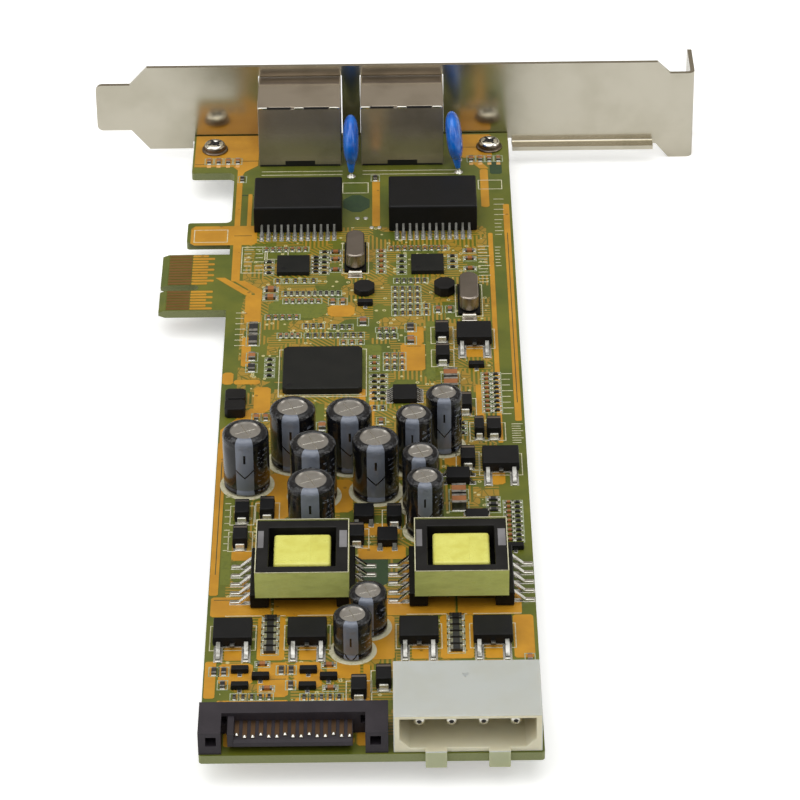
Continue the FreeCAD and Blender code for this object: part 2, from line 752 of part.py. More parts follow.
def slot_bracket():
    """Full-height bracket: foot, plate with two port windows, lip, two board tabs and screw flange."""
    sheet = bracket_thickness
    foot_top = bracket_top - foot_step
    foot_low = foot_top - foot_width
    body_start = foot_length + foot_taper
    flange_outside = flange_bend + sheet
    bend_start = bracket_length - flange_outside
    flare_end = bracket_length - flange_straight
    flare_start = flare_end - flange_taper
    outline = [(0, foot_low), (0, foot_top), (foot_length, foot_top), (body_start, bracket_top),
               (flare_start, bracket_top), (flare_end, flange_top), (bend_start, flange_top),
               (bend_start, flange_low), (flare_end, flange_low), (flare_start, bracket_low),
               (body_start, bracket_low), (foot_length, foot_low)]
    shape = prism([Vector(x, 0, z) for x, z in outline], Vector(0, sheet, 0))
    foot_edges = [e for e in shape.Edges
                  if max(v.Point.x for v in e.Vertexes) < 1e-6 and abs(e.Length - sheet) < 1e-6]
    shape = shape.makeFillet(foot_corner, foot_edges)

    # flange, bent away from the board
    outer = Part.makeCylinder(flange_outside, flange_width, Vector(bend_start, flange_outside, flange_low))
    inner = Part.makeCylinder(flange_bend, flange_width, Vector(bend_start, flange_outside, flange_low))
    quarter = box(bend_start, bracket_length, 0, flange_outside, flange_low, flange_top)
    flange = box(bracket_length - sheet, bracket_length, flange_outside, flange_depth, flange_low, flange_top)
    tip = [e for e in flange.Edges if min(v.Point.y for v in e.Vertexes) > flange_depth - 1e-6
           and abs(e.Length - sheet) < 1e-6]
    flange = flange.makeFillet(flange_corner, tip)
    shape = shape.fuse([outer.cut(inner).common(quarter), flange])

    # windows, reliefs and the strips of plate that the bends replace
    tools = []
    for centre in jack_centres:
        tools.append(box(centre - jack_width / 2 - jack_clearance, centre + jack_width / 2 + jack_clearance,
                         -overcut, sheet + overcut, -jack_clearance, jack_height + jack_clearance))
    notch_end = flange_low + notch_depth
    notch_start = bracket_length - sheet - overcut
    tools.append(box(notch_start, bracket_length + overcut, notch_centre - notch_width / 2,
                     notch_centre + notch_width / 2, flange_low - overcut, notch_end))
    tools.append(Part.makeCylinder(notch_width / 2, sheet + 2 * overcut,
                                   Vector(notch_start, notch_centre, notch_end), Vector(1, 0, 0)))
    lip_start = board_right + lip_margin
    lip_end = flare_start - lip_end_margin
    lip_axis = bracket_low + sheet + bend_inside
    tools.append(box(lip_start, lip_end, -overcut, sheet + overcut, bracket_low - overcut, lip_axis))
    tab_axis = board_under + bend_inside
    for x, _ in screw_places:
        tools.append(box(x - tab_width / 2 - tab_relief, x + tab_width / 2 + tab_relief, -overcut,
                         sheet + overcut, bracket_low - overcut, tab_axis))
    shape = shape.cut(tools)

    # lip and tabs, bent towards the board's side
    added = [sheet_bend(bend_inside, lip_start, lip_end, -bend_inside, lip_axis),
             box(lip_start, lip_end, -lip_depth, -bend_inside, bracket_low, bracket_low + sheet)]
    for x, y in screw_places:
        left, right = x - tab_width / 2, x + tab_width / 2
        tab = box(left, right, -tab_depth, -bend_inside, board_under - sheet, board_under)
        tab = tab.makeFillet(tab_relief, upright_edges(tab, [(left, -tab_depth), (right, -tab_depth)]))
        bore = cylinder(x, y, screw_shank / 2 + screw_clearance / 2, board_under - sheet - overcut,
                        board_under + overcut)
        added.append(sheet_bend(bend_inside, left, right, -bend_inside, tab_axis))
        added.append(tab.cut(bore))
    return shape.fuse(added).removeSplitter()


def bracket_screws():
    """Two flat-topped screws through the board into the bracket's tabs."""
    tip = board_under - bracket_thickness - screw_tip
    screws = []
    for x, y in screw_places:
        head = faceted(x, y, screw_head / 2, 0, screw_head_height, screw_head_sides)
        screws.append(head.fuse(faceted(x, y, screw_shank / 2, tip, 0, screw_shank_sides)))
    return group(screws)


# ---- jacks --------------------------------------------------------------------------------------
def jack_shield(centre):
    """Folded shield: roof, sides and rear wall, open in front and below, with two board posts."""
    half = jack_width / 2
    shell = box(centre - half, centre + half, jack_rear, jack_front, 0, jack_height)
    inside = box(centre - half + shield_wall, centre + half - shield_wall, jack_rear + shield_wall,
                 jack_front + overcut, -overcut, jack_height - shield_wall)
    rear_cuts = [box(centre - half + shield_wall, centre + half - shield_wall, jack_rear - overcut,
                     jack_rear + shield_wall, -overcut, rear_gap),
                 box(centre - rear_slot_width / 2, centre + rear_slot_width / 2, jack_rear - overcut,
                     jack_rear + shield_wall, -overcut, rear_slot_height)]
    for side in (-1, 1):
        middle = centre + side * (seam_tab + seam_slot_width) / 2
        rear_cuts.append(block(middle, jack_rear, seam_slot_width, 2 * seam_slot_depth,
                               jack_height - shield_wall, jack_height + overcut))
    shape = shell.cut([inside] + rear_cuts)
    middle = shield_post_y()
    for x0, x1 in shield_posts(centre):
        shape = shape.fuse(box(x0, x1, middle - shield_post_width / 2, middle + shield_post_width / 2,
                               -shield_post_length, 0))
    return shape.removeSplitter()


def lens_places(centre):
    """X centres of a jack's two indicator lenses."""
    edge = jack_width / 2 - shield_wall - lens_edge - lens_width / 2
    return [centre - edge, centre + edge]


def jack_housing(centre):
    """Moulded insert with the plug's port, the latch's step and two lens pockets."""
    half = jack_width / 2 - shield_wall
    front = jack_front - shield_wall
    shape = box(centre - half, centre + half, jack_rear + shield_wall, front, 0, jack_height - shield_wall)
    port_end = front - port_depth
    port = box(centre - port_width / 2, centre + port_width / 2, port_end, front + overcut, port_floor,
               port_roof)
    latch = box(centre - latch_width / 2, centre + latch_width / 2, port_end + latch_setback, front + overcut,
                latch_floor, port_floor)
    tools = [port, latch]
    for x in lens_places(centre):
        tools.append(box(x - lens_width / 2, x + lens_width / 2, front - lens_depth, front + overcut,
                         lens_level, lens_level + lens_height))
    return shape.cut(tools)


def jack_contacts(centre):
    """Eight contact springs under the port's roof, and their solder pins through the board."""
    front = jack_front - shield_wall
    start = front - contact_setback
    bend = start - contact_flat
    end = front - port_depth + contact_end_gap
    profile = [(start, 0), (start, -contact_thickness), (bend, -contact_thickness),
               (end, -contact_thickness - contact_drop), (end, -contact_drop), (bend, 0)]
    parts = []
    for i in range(contact_count):
        x = centre + contact_pitch * (i - (contact_count - 1) / 2)
        points = [Vector(x - contact_width / 2, y, port_roof + z) for y, z in profile]
        parts.append(prism(points, Vector(contact_width, 0, 0)))
    for x, y in jack_pins(centre):
        parts.append(block(x, y, solder_pin, solder_pin, board_under - solder_reach, 0))
    return group(parts)


def port_lights():
    """Clear lenses in the pockets of both housings."""
    front = jack_front - shield_wall
    lenses = []
    for centre in jack_centres:
        for x in lens_places(centre):
            lenses.append(box(x - lens_width / 2, x + lens_width / 2, front - lens_depth, front, lens_level,
                              lens_level + lens_height))
    return group(lenses)


# ---- leaded and moulded parts -------------------------------------------------------------------
def disc_capacitor(place, lean):
    """Coated ceramic disc on edge, standing on two wires through the board."""
    x, y = place
    radius = disc_diameter / 2
    middle = disc_lift + radius
    half = disc_thickness / 2
    disc = faceted(0, 0, radius, -half, half, disc_sides)
    rims = [e for e in disc.Edges if abs(e.Vertexes[0].Point.z - e.Vertexes[1].Point.z) < 1e-6]
    disc = disc.makeChamfer(disc_thickness * 0.35, rims)
    disc.rotate(Vector(0, 0, 0), Vector(0, 1, 0), 90)
    disc.translate(Vector(0, 0, middle))
    parts = [disc]
    for side in (-1, 1):
        foot = side * disc_lead_pitch / 2
        parts.append(faceted(0, foot, disc_rim / 2, disc_lift * 0.45, middle - radius * 0.7))
    coated = parts[0].fuse(parts[1:])
    coated.rotate(Vector(0, 0, disc_lift * 0.45), Vector(0, 1, 0), lean)
    wires = []
    for side in (-1, 1):
        foot = side * disc_lead_pitch / 2
        wires.append(faceted(0, foot, disc_lead / 2, 0, disc_lift * 0.7))
    shape = coated.fuse(wires)
    shape.translate(Vector(x, y, 0))
    return shape


def magnetics_leads_of(centre):
    """Two rows of gull-wing leads, towards the bracket and away from it."""
    leads = []
    for i in range(magnetics_leads):
        x = centre + magnetics_lead_pitch * (i - (magnetics_leads - 1) / 2)
        for side, heading in ((1, 90), (-1, 270)):
            y = magnetics_y + side * magnetics_depth / 2
            leads.append(gull_wing(magnetics_lead_exit, magnetics_lead_reach, lead_thickness,
                                   magnetics_lead_width, x, y, heading))
    return group(leads)


def magnetics_body(centre):
    """Moulded module with a small bevel round its top."""
    shape = block(centre, magnetics_y, magnetics_width, magnetics_depth, 0.1, magnetics_height)
    top = [e for e in shape.Edges if min(v.Point.z for v in e.Vertexes) > magnetics_height - 1e-6]
    return shape.makeChamfer(0.25, top)


def crystal(place):
    """Drawn metal can with round ends on its plastic base."""
    x, y = across(place[0]), controller_zone + place[1]
    radius = crystal_width / 2
    straight = crystal_length - crystal_width
    floor = crystal_base_height
    shape = block(x, y, crystal_width, straight, floor, crystal_height)
    for side in (-1, 1):
        shape = shape.fuse(cylinder(x, y + side * straight / 2, radius, floor, crystal_height))
    return shape.removeSplitter()


def crystal_bases():
    """Plastic carriers under the two crystals."""
    margin = 2 * crystal_base_margin
    return group([block(across(x), controller_zone + y, crystal_width + margin, crystal_length + margin, 0,
                        crystal_base_height) for x, y in CRYSTALS])


def power_inductors():
    """Small inductors by the controllers, and the block pair near the left edge."""
    parts = [cornered_block(across(x), controller_zone + y, size_x, size_y, 0, height, DRUM_CORNER)
             for x, y, size_x, size_y, height in INDUCTORS]
    parts += [cornered_block(across(x), supply_zone + y, size_x, size_y, 0, height, BLOCK_CORNER)
              for x, y, size_x, size_y, height in BLOCK_INDUCTORS]
    return group(parts)


def bridge_chip():
    """Square moulded bridge chip with blunt corners."""
    shape = cornered_block(bridge_x, bridge_y, bridge_size, bridge_size, 0, bridge_height, bridge_corner)
    top = [e for e in shape.Edges if min(v.Point.z for v in e.Vertexes) > bridge_height - 1e-6]
    return shape.makeChamfer(0.15, top)


# ---- electrolytic capacitors --------------------------------------------------------------------
def can(place, diameter, height):
    """Sealed aluminium can in its sleeve, with a bevelled shoulder."""
    shape = faceted(place[0], place[1], diameter / 2, 0, height, can_sides)
    top = [e for e in shape.Edges if min(v.Point.z for v in e.Vertexes) > height - 1e-6]
    return shape.makeChamfer(can_shoulder, top)


def solder_joints():
    """Joints under the board of every wire that passes through it."""
    places = can_leads()
    for x, y in disc_places():
        places += [(x, y + side * disc_lead_pitch / 2) for side in (-1, 1)]
    places += [(x, header_tail_y) for x in header_pin_places]
    low = board_under - joint_height
    return group([tapered(x, y, 2 * joint_tip, 2 * joint_radius, low, board_under) for x, y in places])


# ---- transformers -------------------------------------------------------------------------------
def core_top():
    """Upper face of a transformer's core."""
    return core_base + core_height


def transformer_core(centre):
    """Ferrite frame: two E halves seen as a closed ring round the winding."""
    ring = block(centre, transformer_y, core_width, core_depth, core_base, core_top())
    window = block(centre, transformer_y, core_width - 2 * core_leg, core_depth - 2 * core_leg,
                   core_base - overcut, core_top() + overcut)
    return ring.cut(window)


def transformer_band(centre):
    """Tape wound round the outside of the core."""
    low = core_base - (band_height - core_height) / 2
    outer = block(centre, transformer_y, core_width + 2 * band_thickness, core_depth + 2 * band_thickness,
                  low, low + band_height)
    return outer.cut(block(centre, transformer_y, core_width, core_depth, low - overcut,
                           low + band_height + overcut))


def transformer_winding(centre):
    """Taped winding in the core's window, standing on the bobbin."""
    return cornered_block(centre, transformer_y, winding_width, winding_depth, bobbin_height,
                          core_top() - winding_drop, BLOCK_CORNER)


def transformer_bobbin(centre):
    """Moulded bobbin: base plate under the core with two pin rails standing on the board."""
    rail = (bobbin_width - core_width) / 2 + core_leg
    parts = [block(centre, transformer_y, bobbin_width - rail, bobbin_depth, bobbin_height - bobbin_plate,
                   bobbin_height)]
    for side in (-1, 1):
        middle = centre + side * (bobbin_width - rail) / 2
        parts.append(block(middle, transformer_y, rail, bobbin_depth, bobbin_lift, bobbin_height))
    return parts[0].fuse(parts[1:]).removeSplitter()


def transformer_leads_of(centre):
    """Five gull-wing leads on each side of the bobbin."""
    return group(lead_rows(centre, transformer_y, bobbin_width, transformer_leads, transformer_lead_pitch,
                           transformer_lead_exit, transformer_lead_reach, transformer_lead_thickness,
                           transformer_lead_width))


# ---- transistors, diodes, small chips -----------------------------------------------------------
def dpak_places():
    """Body centres of the six power transistors."""
    row = [(across(x), dpak_row_y) for x in DPAK_ROW]
    return row + placed([BRIDGE_DPAK], bridge_zone) + placed([SUPPLY_DPAK], supply_zone)


def power_transistors():
    """Moulded bodies of the power transistors."""
    parts = []
    for x, y in dpak_places():
        parts.append(moulded(x, y, dpak_width, dpak_depth, dpak_height - dpak_tab_thickness,
                             dpak_tab_thickness))
    return group(parts)


def transistor_leads():
    """Heat tabs under the bodies, two bent legs each and the cut middle leg."""
    parts = []
    for x, y in dpak_places():
        near = y - dpak_depth / 2
        tab_far = y + dpak_depth / 2 + dpak_tab_length
        parts.append(box(x - dpak_tab_width / 2, x + dpak_tab_width / 2, near + dpak_tab_start, tab_far, 0,
                         dpak_tab_thickness))
        for side in (-1, 1):
            parts.append(gull_wing(dpak_height * 0.45, dpak_leg_reach, dpak_leg_thickness, dpak_leg_width,
                                   x + side * dpak_leg_pitch, near, 270))
        level = dpak_height * 0.45
        parts.append(box(x - dpak_leg_width / 2, x + dpak_leg_width / 2, near - dpak_stub, near,
                         level - dpak_leg_thickness / 2, level + dpak_leg_thickness / 2))
    return group(parts)


def sma_places():
    """Body centres of the power diodes."""
    return (placed(BRIDGE_SMA, bridge_zone) + placed(SUPPLY_SMA, supply_zone)
            + placed(TRANSISTOR_SMA, transistor_zone))


def diode_bodies():
    """Moulded bodies of the power diodes and one narrow diode."""
    parts = [moulded(x, y, sma_width, sma_body, sma_height) for x, y in sma_places()]
    parts += [moulded(x, y, NARROW_WIDTH, sma_body, sma_height) for x, y in placed(NARROW_DIODE, supply_zone)]
    return group(parts)


def diode_leads():
    """Terminals that wrap under both ends of each diode."""
    parts = []
    places = [(x, y, sma_lead_width) for x, y in sma_places()]
    places += [(x, y, NARROW_WIDTH * 0.6) for x, y in placed(NARROW_DIODE, supply_zone)]
    out = (sma_overall - sma_body) / 2
    rise = sma_height * 0.55
    profile = [(0, 0), (out, 0), (out, rise), (0, rise)]
    for x, y, width in places:
        parts.append(strip(profile, width, x, y + sma_body / 2, 90))
        parts.append(strip(profile, width, x, y - sma_body / 2, 270))
    return group(parts)


def sot_places():
    """Body centres of the three-legged packages."""
    return (placed(CONTROLLER_SOT, controller_zone) + placed(BRIDGE_SOT, bridge_zone)
            + placed(SUPPLY_SOT, supply_zone) + placed(TRANSISTOR_SOT, transistor_zone))


def leaded_chips():
    """Packages with two rows of leads: (package, x, y, turned by 90 degrees)."""
    chips = []
    for package, x, y, is_turned in TWO_ROW_CHIPS:
        chips.append((package, across(x), supply_zone + y, is_turned))
    return chips


def small_chips():
    """Moulded bodies of the three-legged parts, rectifiers and two-row chips."""
    parts = [moulded(x, y, sot_width, sot_depth, sot_height) for x, y in sot_places()]
    for package, x, y, is_turned in leaded_chips():
        size_x, size_y, height = package[:3]
        body = moulded(0, 0, size_x, size_y, height - 0.05, 0.05)
        body.rotate(Vector(0, 0, 0), Vector(0, 0, 1), 90 if is_turned else 0)
        body.translate(Vector(x, y, 0))
        parts.append(body)
    return group(parts)


def small_chip_leads():
    """Leads of the small chips."""
    parts = []
    for x, y in sot_places():
        for offset, side in ((0, -1), (-sot_leg_pitch, 1), (sot_leg_pitch, 1)):
            start = y + side * sot_depth / 2
            end = start + side * sot_leg_reach
            parts.append(box(x + offset - sot_leg / 2, x + offset + sot_leg / 2, min(start, end),
                             max(start, end), 0, lead_thickness))
    for package, x, y, is_turned in leaded_chips():
        size_x, _, height, count, pitch, width, reach = package
        leads = group(lead_rows(0, 0, size_x, count, pitch, height * 0.45 + 0.02, reach, lead_thickness,
                                width))
        leads.rotate(Vector(0, 0, 0), Vector(0, 0, 1), 90 if is_turned else 0)
        leads.translate(Vector(x, y, 0))
        parts += leads.Solids
    return group(parts)


def chip_capacitors():
    """All ceramic chip capacitors."""
    return group(chip_parts(PORT_CAPACITORS, 0) + chip_parts(CONTROLLER_CAPACITORS, controller_zone)
                 + chip_parts(BRIDGE_CAPACITORS, bridge_zone) + chip_parts(SUPPLY_CAPACITORS, supply_zone)
                 + chip_parts(TRANSISTOR_CAPACITORS, transistor_zone))


def chip_resistors():
    """All chip resistors."""
    return group(chip_parts(PORT_RESISTORS, 0) + chip_parts(CONTROLLER_RESISTORS, controller_zone)
                 + chip_parts(BRIDGE_RESISTORS, bridge_zone) + chip_parts(SUPPLY_RESISTORS, supply_zone)
                 + chip_parts(TRANSISTOR_RESISTORS, transistor_zone))


# ---- power connectors ---------------------------------------------------------------------------
def blade_range():
    """X range of the plug's contact blade."""
    return plug_left + blade_margin, plug_left + blade_margin + blade_width


def power_plug():
    """Drive-style power plug: rear body, two guide ears and the keyed contact blade between them."""
    right = plug_left + plug_width
    wall_front = plug_far - plug_wall
    body = box(plug_left, right, wall_front, plug_far, 0, plug_height)
    left_ear = box(plug_left, plug_left + plug_ear, plug_front, wall_front, 0, plug_height)
    right_ear = box(right - plug_ear, right, plug_front, wall_front, 0, plug_height)
    blade_left, blade_right = blade_range()
    blade_top = blade_floor + blade_thickness
    blade = box(blade_left, blade_right, plug_front, wall_front, blade_floor, blade_top)
    tip = [e for e in blade.Edges if max(v.Point.y for v in e.Vertexes) < plug_front + 1e-6
           and abs(e.Length - (blade_right - blade_left)) < 1e-6]
    blade = blade.makeChamfer(blade_thickness * 0.25, tip)
    key = box(blade_left - blade_key, blade_left, plug_front + blade_key_setback, wall_front, blade_floor,
              blade_top + blade_key_height)
    shape = body.fuse([left_ear, right_ear, blade, key])
    hole_low = plug_height / 2 - ear_hole / 2 + 0.4
    tools = []
    for x in (plug_left + plug_ear / 2 + 0.2, right - plug_ear / 2 - 0.2):
        tools.append(block(x, plug_front, ear_hole, 2 * ear_hole_depth, hole_low, hole_low + ear_hole))
    for x in (plug_left + plug_ear, right - plug_ear):
        tools.append(block(x, wall_front, ear_hole * 0.9, plug_wall, hole_low + 0.3,
                           hole_low + ear_hole * 1.1))
    tools.append(box(blade_left - 2 * blade_key, blade_right + blade_key, plug_far - tail_recess_depth,
                     plug_far + overcut, -overcut, tail_recess_height))
    return shape.cut(tools).removeSplitter()


def plug_contact_places():
    """X centres of the plug's contacts."""
    middle = sum(blade_range()) / 2
    return [middle + plug_contact_pitch * (i - (plug_contacts - 1) / 2) for i in range(plug_contacts)]


def power_plug_contacts():
    """Contact strips on the blade's upper face and their tails on the board behind the body."""
    top = blade_floor + blade_thickness
    parts = []
    for i, x in enumerate(plug_contact_places()):
        start = plug_front + (contact_tip if i % 3 else late_contact_tip)
        left, right = x - plug_contact_width / 2, x + plug_contact_width / 2
        parts.append(box(left, right, start, plug_far - plug_wall, top, top + plug_contact_thickness))
        parts.append(box(left, right, plug_far, plug_far + plug_tail, 0, lead_thickness))
    return group(parts)


def power_header():
    """White header: open shell with chamfered lower corners, and two tabs that hook over the board's end."""
    left, right = header_x - header_width / 2, header_x + header_width / 2
    shape = box(left, right, header_front, header_far, 0, header_height)
    inner_left, inner_right = left + header_wall, right - header_wall
    low, high = header_floor, header_height - header_roof
    mouth = [(inner_left, low + header_chamfer), (inner_left, high), (inner_right, high),
             (inner_right, low + header_chamfer), (inner_right - header_chamfer, low),
             (inner_left + header_chamfer, low)]
    back = header_far - header_back
    cavity = prism([Vector(x, header_front - overcut, z) for x, z in mouth],
                   Vector(0, back - header_front + overcut, 0))
    shape = shape.cut(cavity)
    tabs = []
    for side in (-1, 1):
        x = header_x + side * hook_tab_pitch / 2
        front = board_near - hook_tab_thickness
        tabs.append(block(x, (front + board_near) / 2, hook_tab_width, hook_tab_thickness, -hook_tab_drop,
                          header_floor))
        tabs.append(block(x, (board_near + header_front) / 2, hook_tab_width, header_setback, 0,
                          header_floor))
    return shape.fuse(tabs).removeSplitter()


def power_header_pins():
    """Round pins that stand out of the header's rear wall towards its mouth."""
    front = header_front + header_pin_setback
    length = header_far - header_back - front
    radius = header_pin_diameter / 2
    pins = []
    for x in header_pin_places:
        pin = faceted(0, 0, radius, 0, length, header_pin_sides)
        pin.rotate(Vector(0, 0, 0), Vector(1, 0, 0), -90)
        pin.translate(Vector(x, front, header_pin_height))
        pins.append(pin)
    return group(pins)


# ---- nodes --------------------------------------------------------------------------------------
def nodes():
    """Every node's name and shape in the card frame."""
    made = {
        "circuit_board": circuit_board(),
        "edge_contacts": edge_contacts(),
        "slot_bracket": slot_bracket(),
        "bracket_screws": bracket_screws(),
        "port_lights": port_lights(),
        "crystal_bases": crystal_bases(),
        "bridge_chip": bridge_chip(),
        "power_inductors": power_inductors(),
        "solder_joints": solder_joints(),
        "power_transistors": power_transistors(),
        "transistor_leads": transistor_leads(),
        "diode_bodies": diode_bodies(),
        "diode_leads": diode_leads(),
        "small_chips": small_chips(),
        "small_chip_leads": small_chip_leads(),
        "chip_capacitors": chip_capacitors(),
        "chip_resistors": chip_resistors(),
        "power_plug": power_plug(),
        "power_plug_contacts": power_plug_contacts(),
        "power_header": power_header(),
        "power_header_pins": power_header_pins(),
    }
    leans = (0, disc_lean)
    for i in range(2):
        number = i + 1
        made[f"port_{number}_shield"] = jack_shield(jack_centres[i])
        made[f"port_{number}_housing"] = jack_housing(jack_centres[i])
        made[f"port_{number}_contacts"] = jack_contacts(jack_centres[i])
        made[f"disc_capacitor_{number}"] = disc_capacitor(disc_places()[i], leans[i])
        made[f"magnetics_{number}_body"] = magnetics_body(magnetics_centres[i])
        made[f"magnetics_{number}_leads"] = magnetics_leads_of(magnetics_centres[i])
        made[f"controller_{number}"] = block(controller_centres[i], controller_y, controller_size,
                                             controller_size, 0, controller_height)
        made[f"crystal_{number}"] = crystal(CRYSTALS[i])
        made[f"transformer_{number}_core"] = transformer_core(transformer_centres[i])
        made[f"transformer_{number}_band"] = transformer_band(transformer_centres[i])
        made[f"transformer_{number}_winding"] = transformer_winding(transformer_centres[i])
        made[f"transformer_{number}_bobbin"] = transformer_bobbin(transformer_centres[i])
        made[f"transformer_{number}_leads"] = transformer_leads_of(transformer_centres[i])
    cans = [(place, large_can_diameter, large_can_height) for place in large_can_places]
    cans += [(place, small_can_diameter, small_can_height) for place in small_can_places]
    cans += [(place, small_can_diameter, low_can_height) for place in low_can_places]
    for number, (place, diameter, height) in enumerate(cans, 1):
        made[f"capacitor_{number}"] = can(place, diameter, height)
    return made


os.makedirs("parts", exist_ok=True)
for name, shape in nodes().items():
    placed = shape.copy()
    placed.translate(ORIGIN * -1)
    placed.exportStep(f"parts/{name}.step")
print("board", round(board_width, 2), "x", round(board_far - board_near, 2), "origin", ORIGIN)
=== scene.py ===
"""Looks for the network interface card: finishes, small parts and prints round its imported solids."""

import logging
import math
import random
from dataclasses import dataclass, field
from enum import Enum
from typing import Callable, Iterable, Sequence

import bmesh
import bpy
from mathutils import Matrix, Vector

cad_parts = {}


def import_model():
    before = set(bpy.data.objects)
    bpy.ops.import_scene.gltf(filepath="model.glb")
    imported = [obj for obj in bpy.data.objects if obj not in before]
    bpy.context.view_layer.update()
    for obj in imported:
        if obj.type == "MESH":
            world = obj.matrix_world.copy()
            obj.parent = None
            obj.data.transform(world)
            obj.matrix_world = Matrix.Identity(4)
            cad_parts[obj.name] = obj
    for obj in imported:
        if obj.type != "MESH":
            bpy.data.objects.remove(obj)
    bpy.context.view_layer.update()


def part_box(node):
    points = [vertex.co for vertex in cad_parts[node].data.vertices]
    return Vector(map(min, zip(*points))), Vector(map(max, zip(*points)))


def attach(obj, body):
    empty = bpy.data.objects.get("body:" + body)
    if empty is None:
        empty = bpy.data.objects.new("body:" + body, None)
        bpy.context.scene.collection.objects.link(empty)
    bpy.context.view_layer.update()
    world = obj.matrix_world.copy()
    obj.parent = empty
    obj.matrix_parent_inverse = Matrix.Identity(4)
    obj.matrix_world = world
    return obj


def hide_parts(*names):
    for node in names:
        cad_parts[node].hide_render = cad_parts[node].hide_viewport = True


MM = 0.001
FULL_TURN = 2 * math.pi
BODY = "root"
SEED = 7
CAN_TURN = 0.12                  # most that a can is turned, in radians
DISC_LEANS = {1: 0.0, 2: -7.0}   # degrees
STANDS_CLEAR = 0.3               # a lead that starts above this height doesn't lie on the board
LOG = logging.getLogger("network_card")

Point = Sequence[float]
Colour = tuple[float, float, float]
Profile = list[tuple[float, float]]


def shade(red: int, green: int, blue: int) -> Colour:
    """Linear colour of a display colour.

    Args:
        red: red part, 0 to 255.
        green: green part, 0 to 255.
        blue: blue part, 0 to 255.

    Returns:
        The three linear parts, 0 to 1.
    """
    parts = []
    for part in (red, green, blue):
        level = part / 255
        parts.append(level / 12.92 if level <= 0.04045 else ((level + 0.055) / 1.055) ** 2.4)
    return parts[0], parts[1], parts[2]


def middle_of(low: Point, high: Point, level: float = 0.0) -> Vector:
    """Middle of a box in plan, at a given height."""
    return Vector(((low[0] + high[0]) / 2, (low[1] + high[1]) / 2, level))


def arc(steps: int) -> list[float]:
    """Angles of a quarter turn in equal steps, both ends with it."""
    return [math.pi / 2 * i / steps for i in range(steps + 1)]


# ---- shader expressions -------------------------------------------------------------------------
class Value:
    """A shader socket whose Python operators add Math nodes."""

    def __init__(self, tree: "ShaderTree", socket: bpy.types.NodeSocket) -> None:
        """Keep the tree and the socket."""
        self.tree = tree
        self.socket = socket

    def _math(self, operation: str, *inputs: "Value | float") -> "Value":
        """Add one Math node over the inputs."""
        return self.tree.node("ShaderNodeMath", {"operation": operation}, list(inputs))

    def __add__(self, other: "Value | float") -> "Value":
        """Sum."""
        return self._math("ADD", self, other)

    __radd__ = __add__

    def __sub__(self, other: "Value | float") -> "Value":
        """Difference."""
        return self._math("SUBTRACT", self, other)

    def __rsub__(self, other: "Value | float") -> "Value":
        """Reflected difference."""
        return self._math("SUBTRACT", other, self)

    def __mul__(self, other: "Value | float") -> "Value":
        """Product."""
        return self._math("MULTIPLY", self, other)

    def __gt__(self, other: "Value | float") -> "Value":
        """One where this is greater."""
        return self._math("GREATER_THAN", self, other)

    def __lt__(self, other: "Value | float") -> "Value":
        """One where this is less."""
        return self._math("LESS_THAN", self, other)

    def __abs__(self) -> "Value":
        """Size without sign."""
        return self._math("ABSOLUTE", self)

    def wrapped(self, period: float) -> "Value":
        """Remainder from zero to the period."""
        return self._math("WRAP", self, period, 0.0)

    def clamped(self) -> "Value":
        """This kept between 0 and 1."""
        return self._math("MINIMUM", self._math("MAXIMUM", self, 0.0), 1.0)

    def between(self, low: "Value | float", high: "Value | float") -> "Value":
        """One from low to high."""
        return (self > low) * (self < high)

    def ramp(self, low: float, high: float) -> "Value":
        """Zero at low and one at high, smooth between them."""
        settings = {"interpolation_type": "SMOOTHSTEP"}
        return self.tree.node("ShaderNodeMapRange", settings, [self, low, high, 0.0, 1.0])


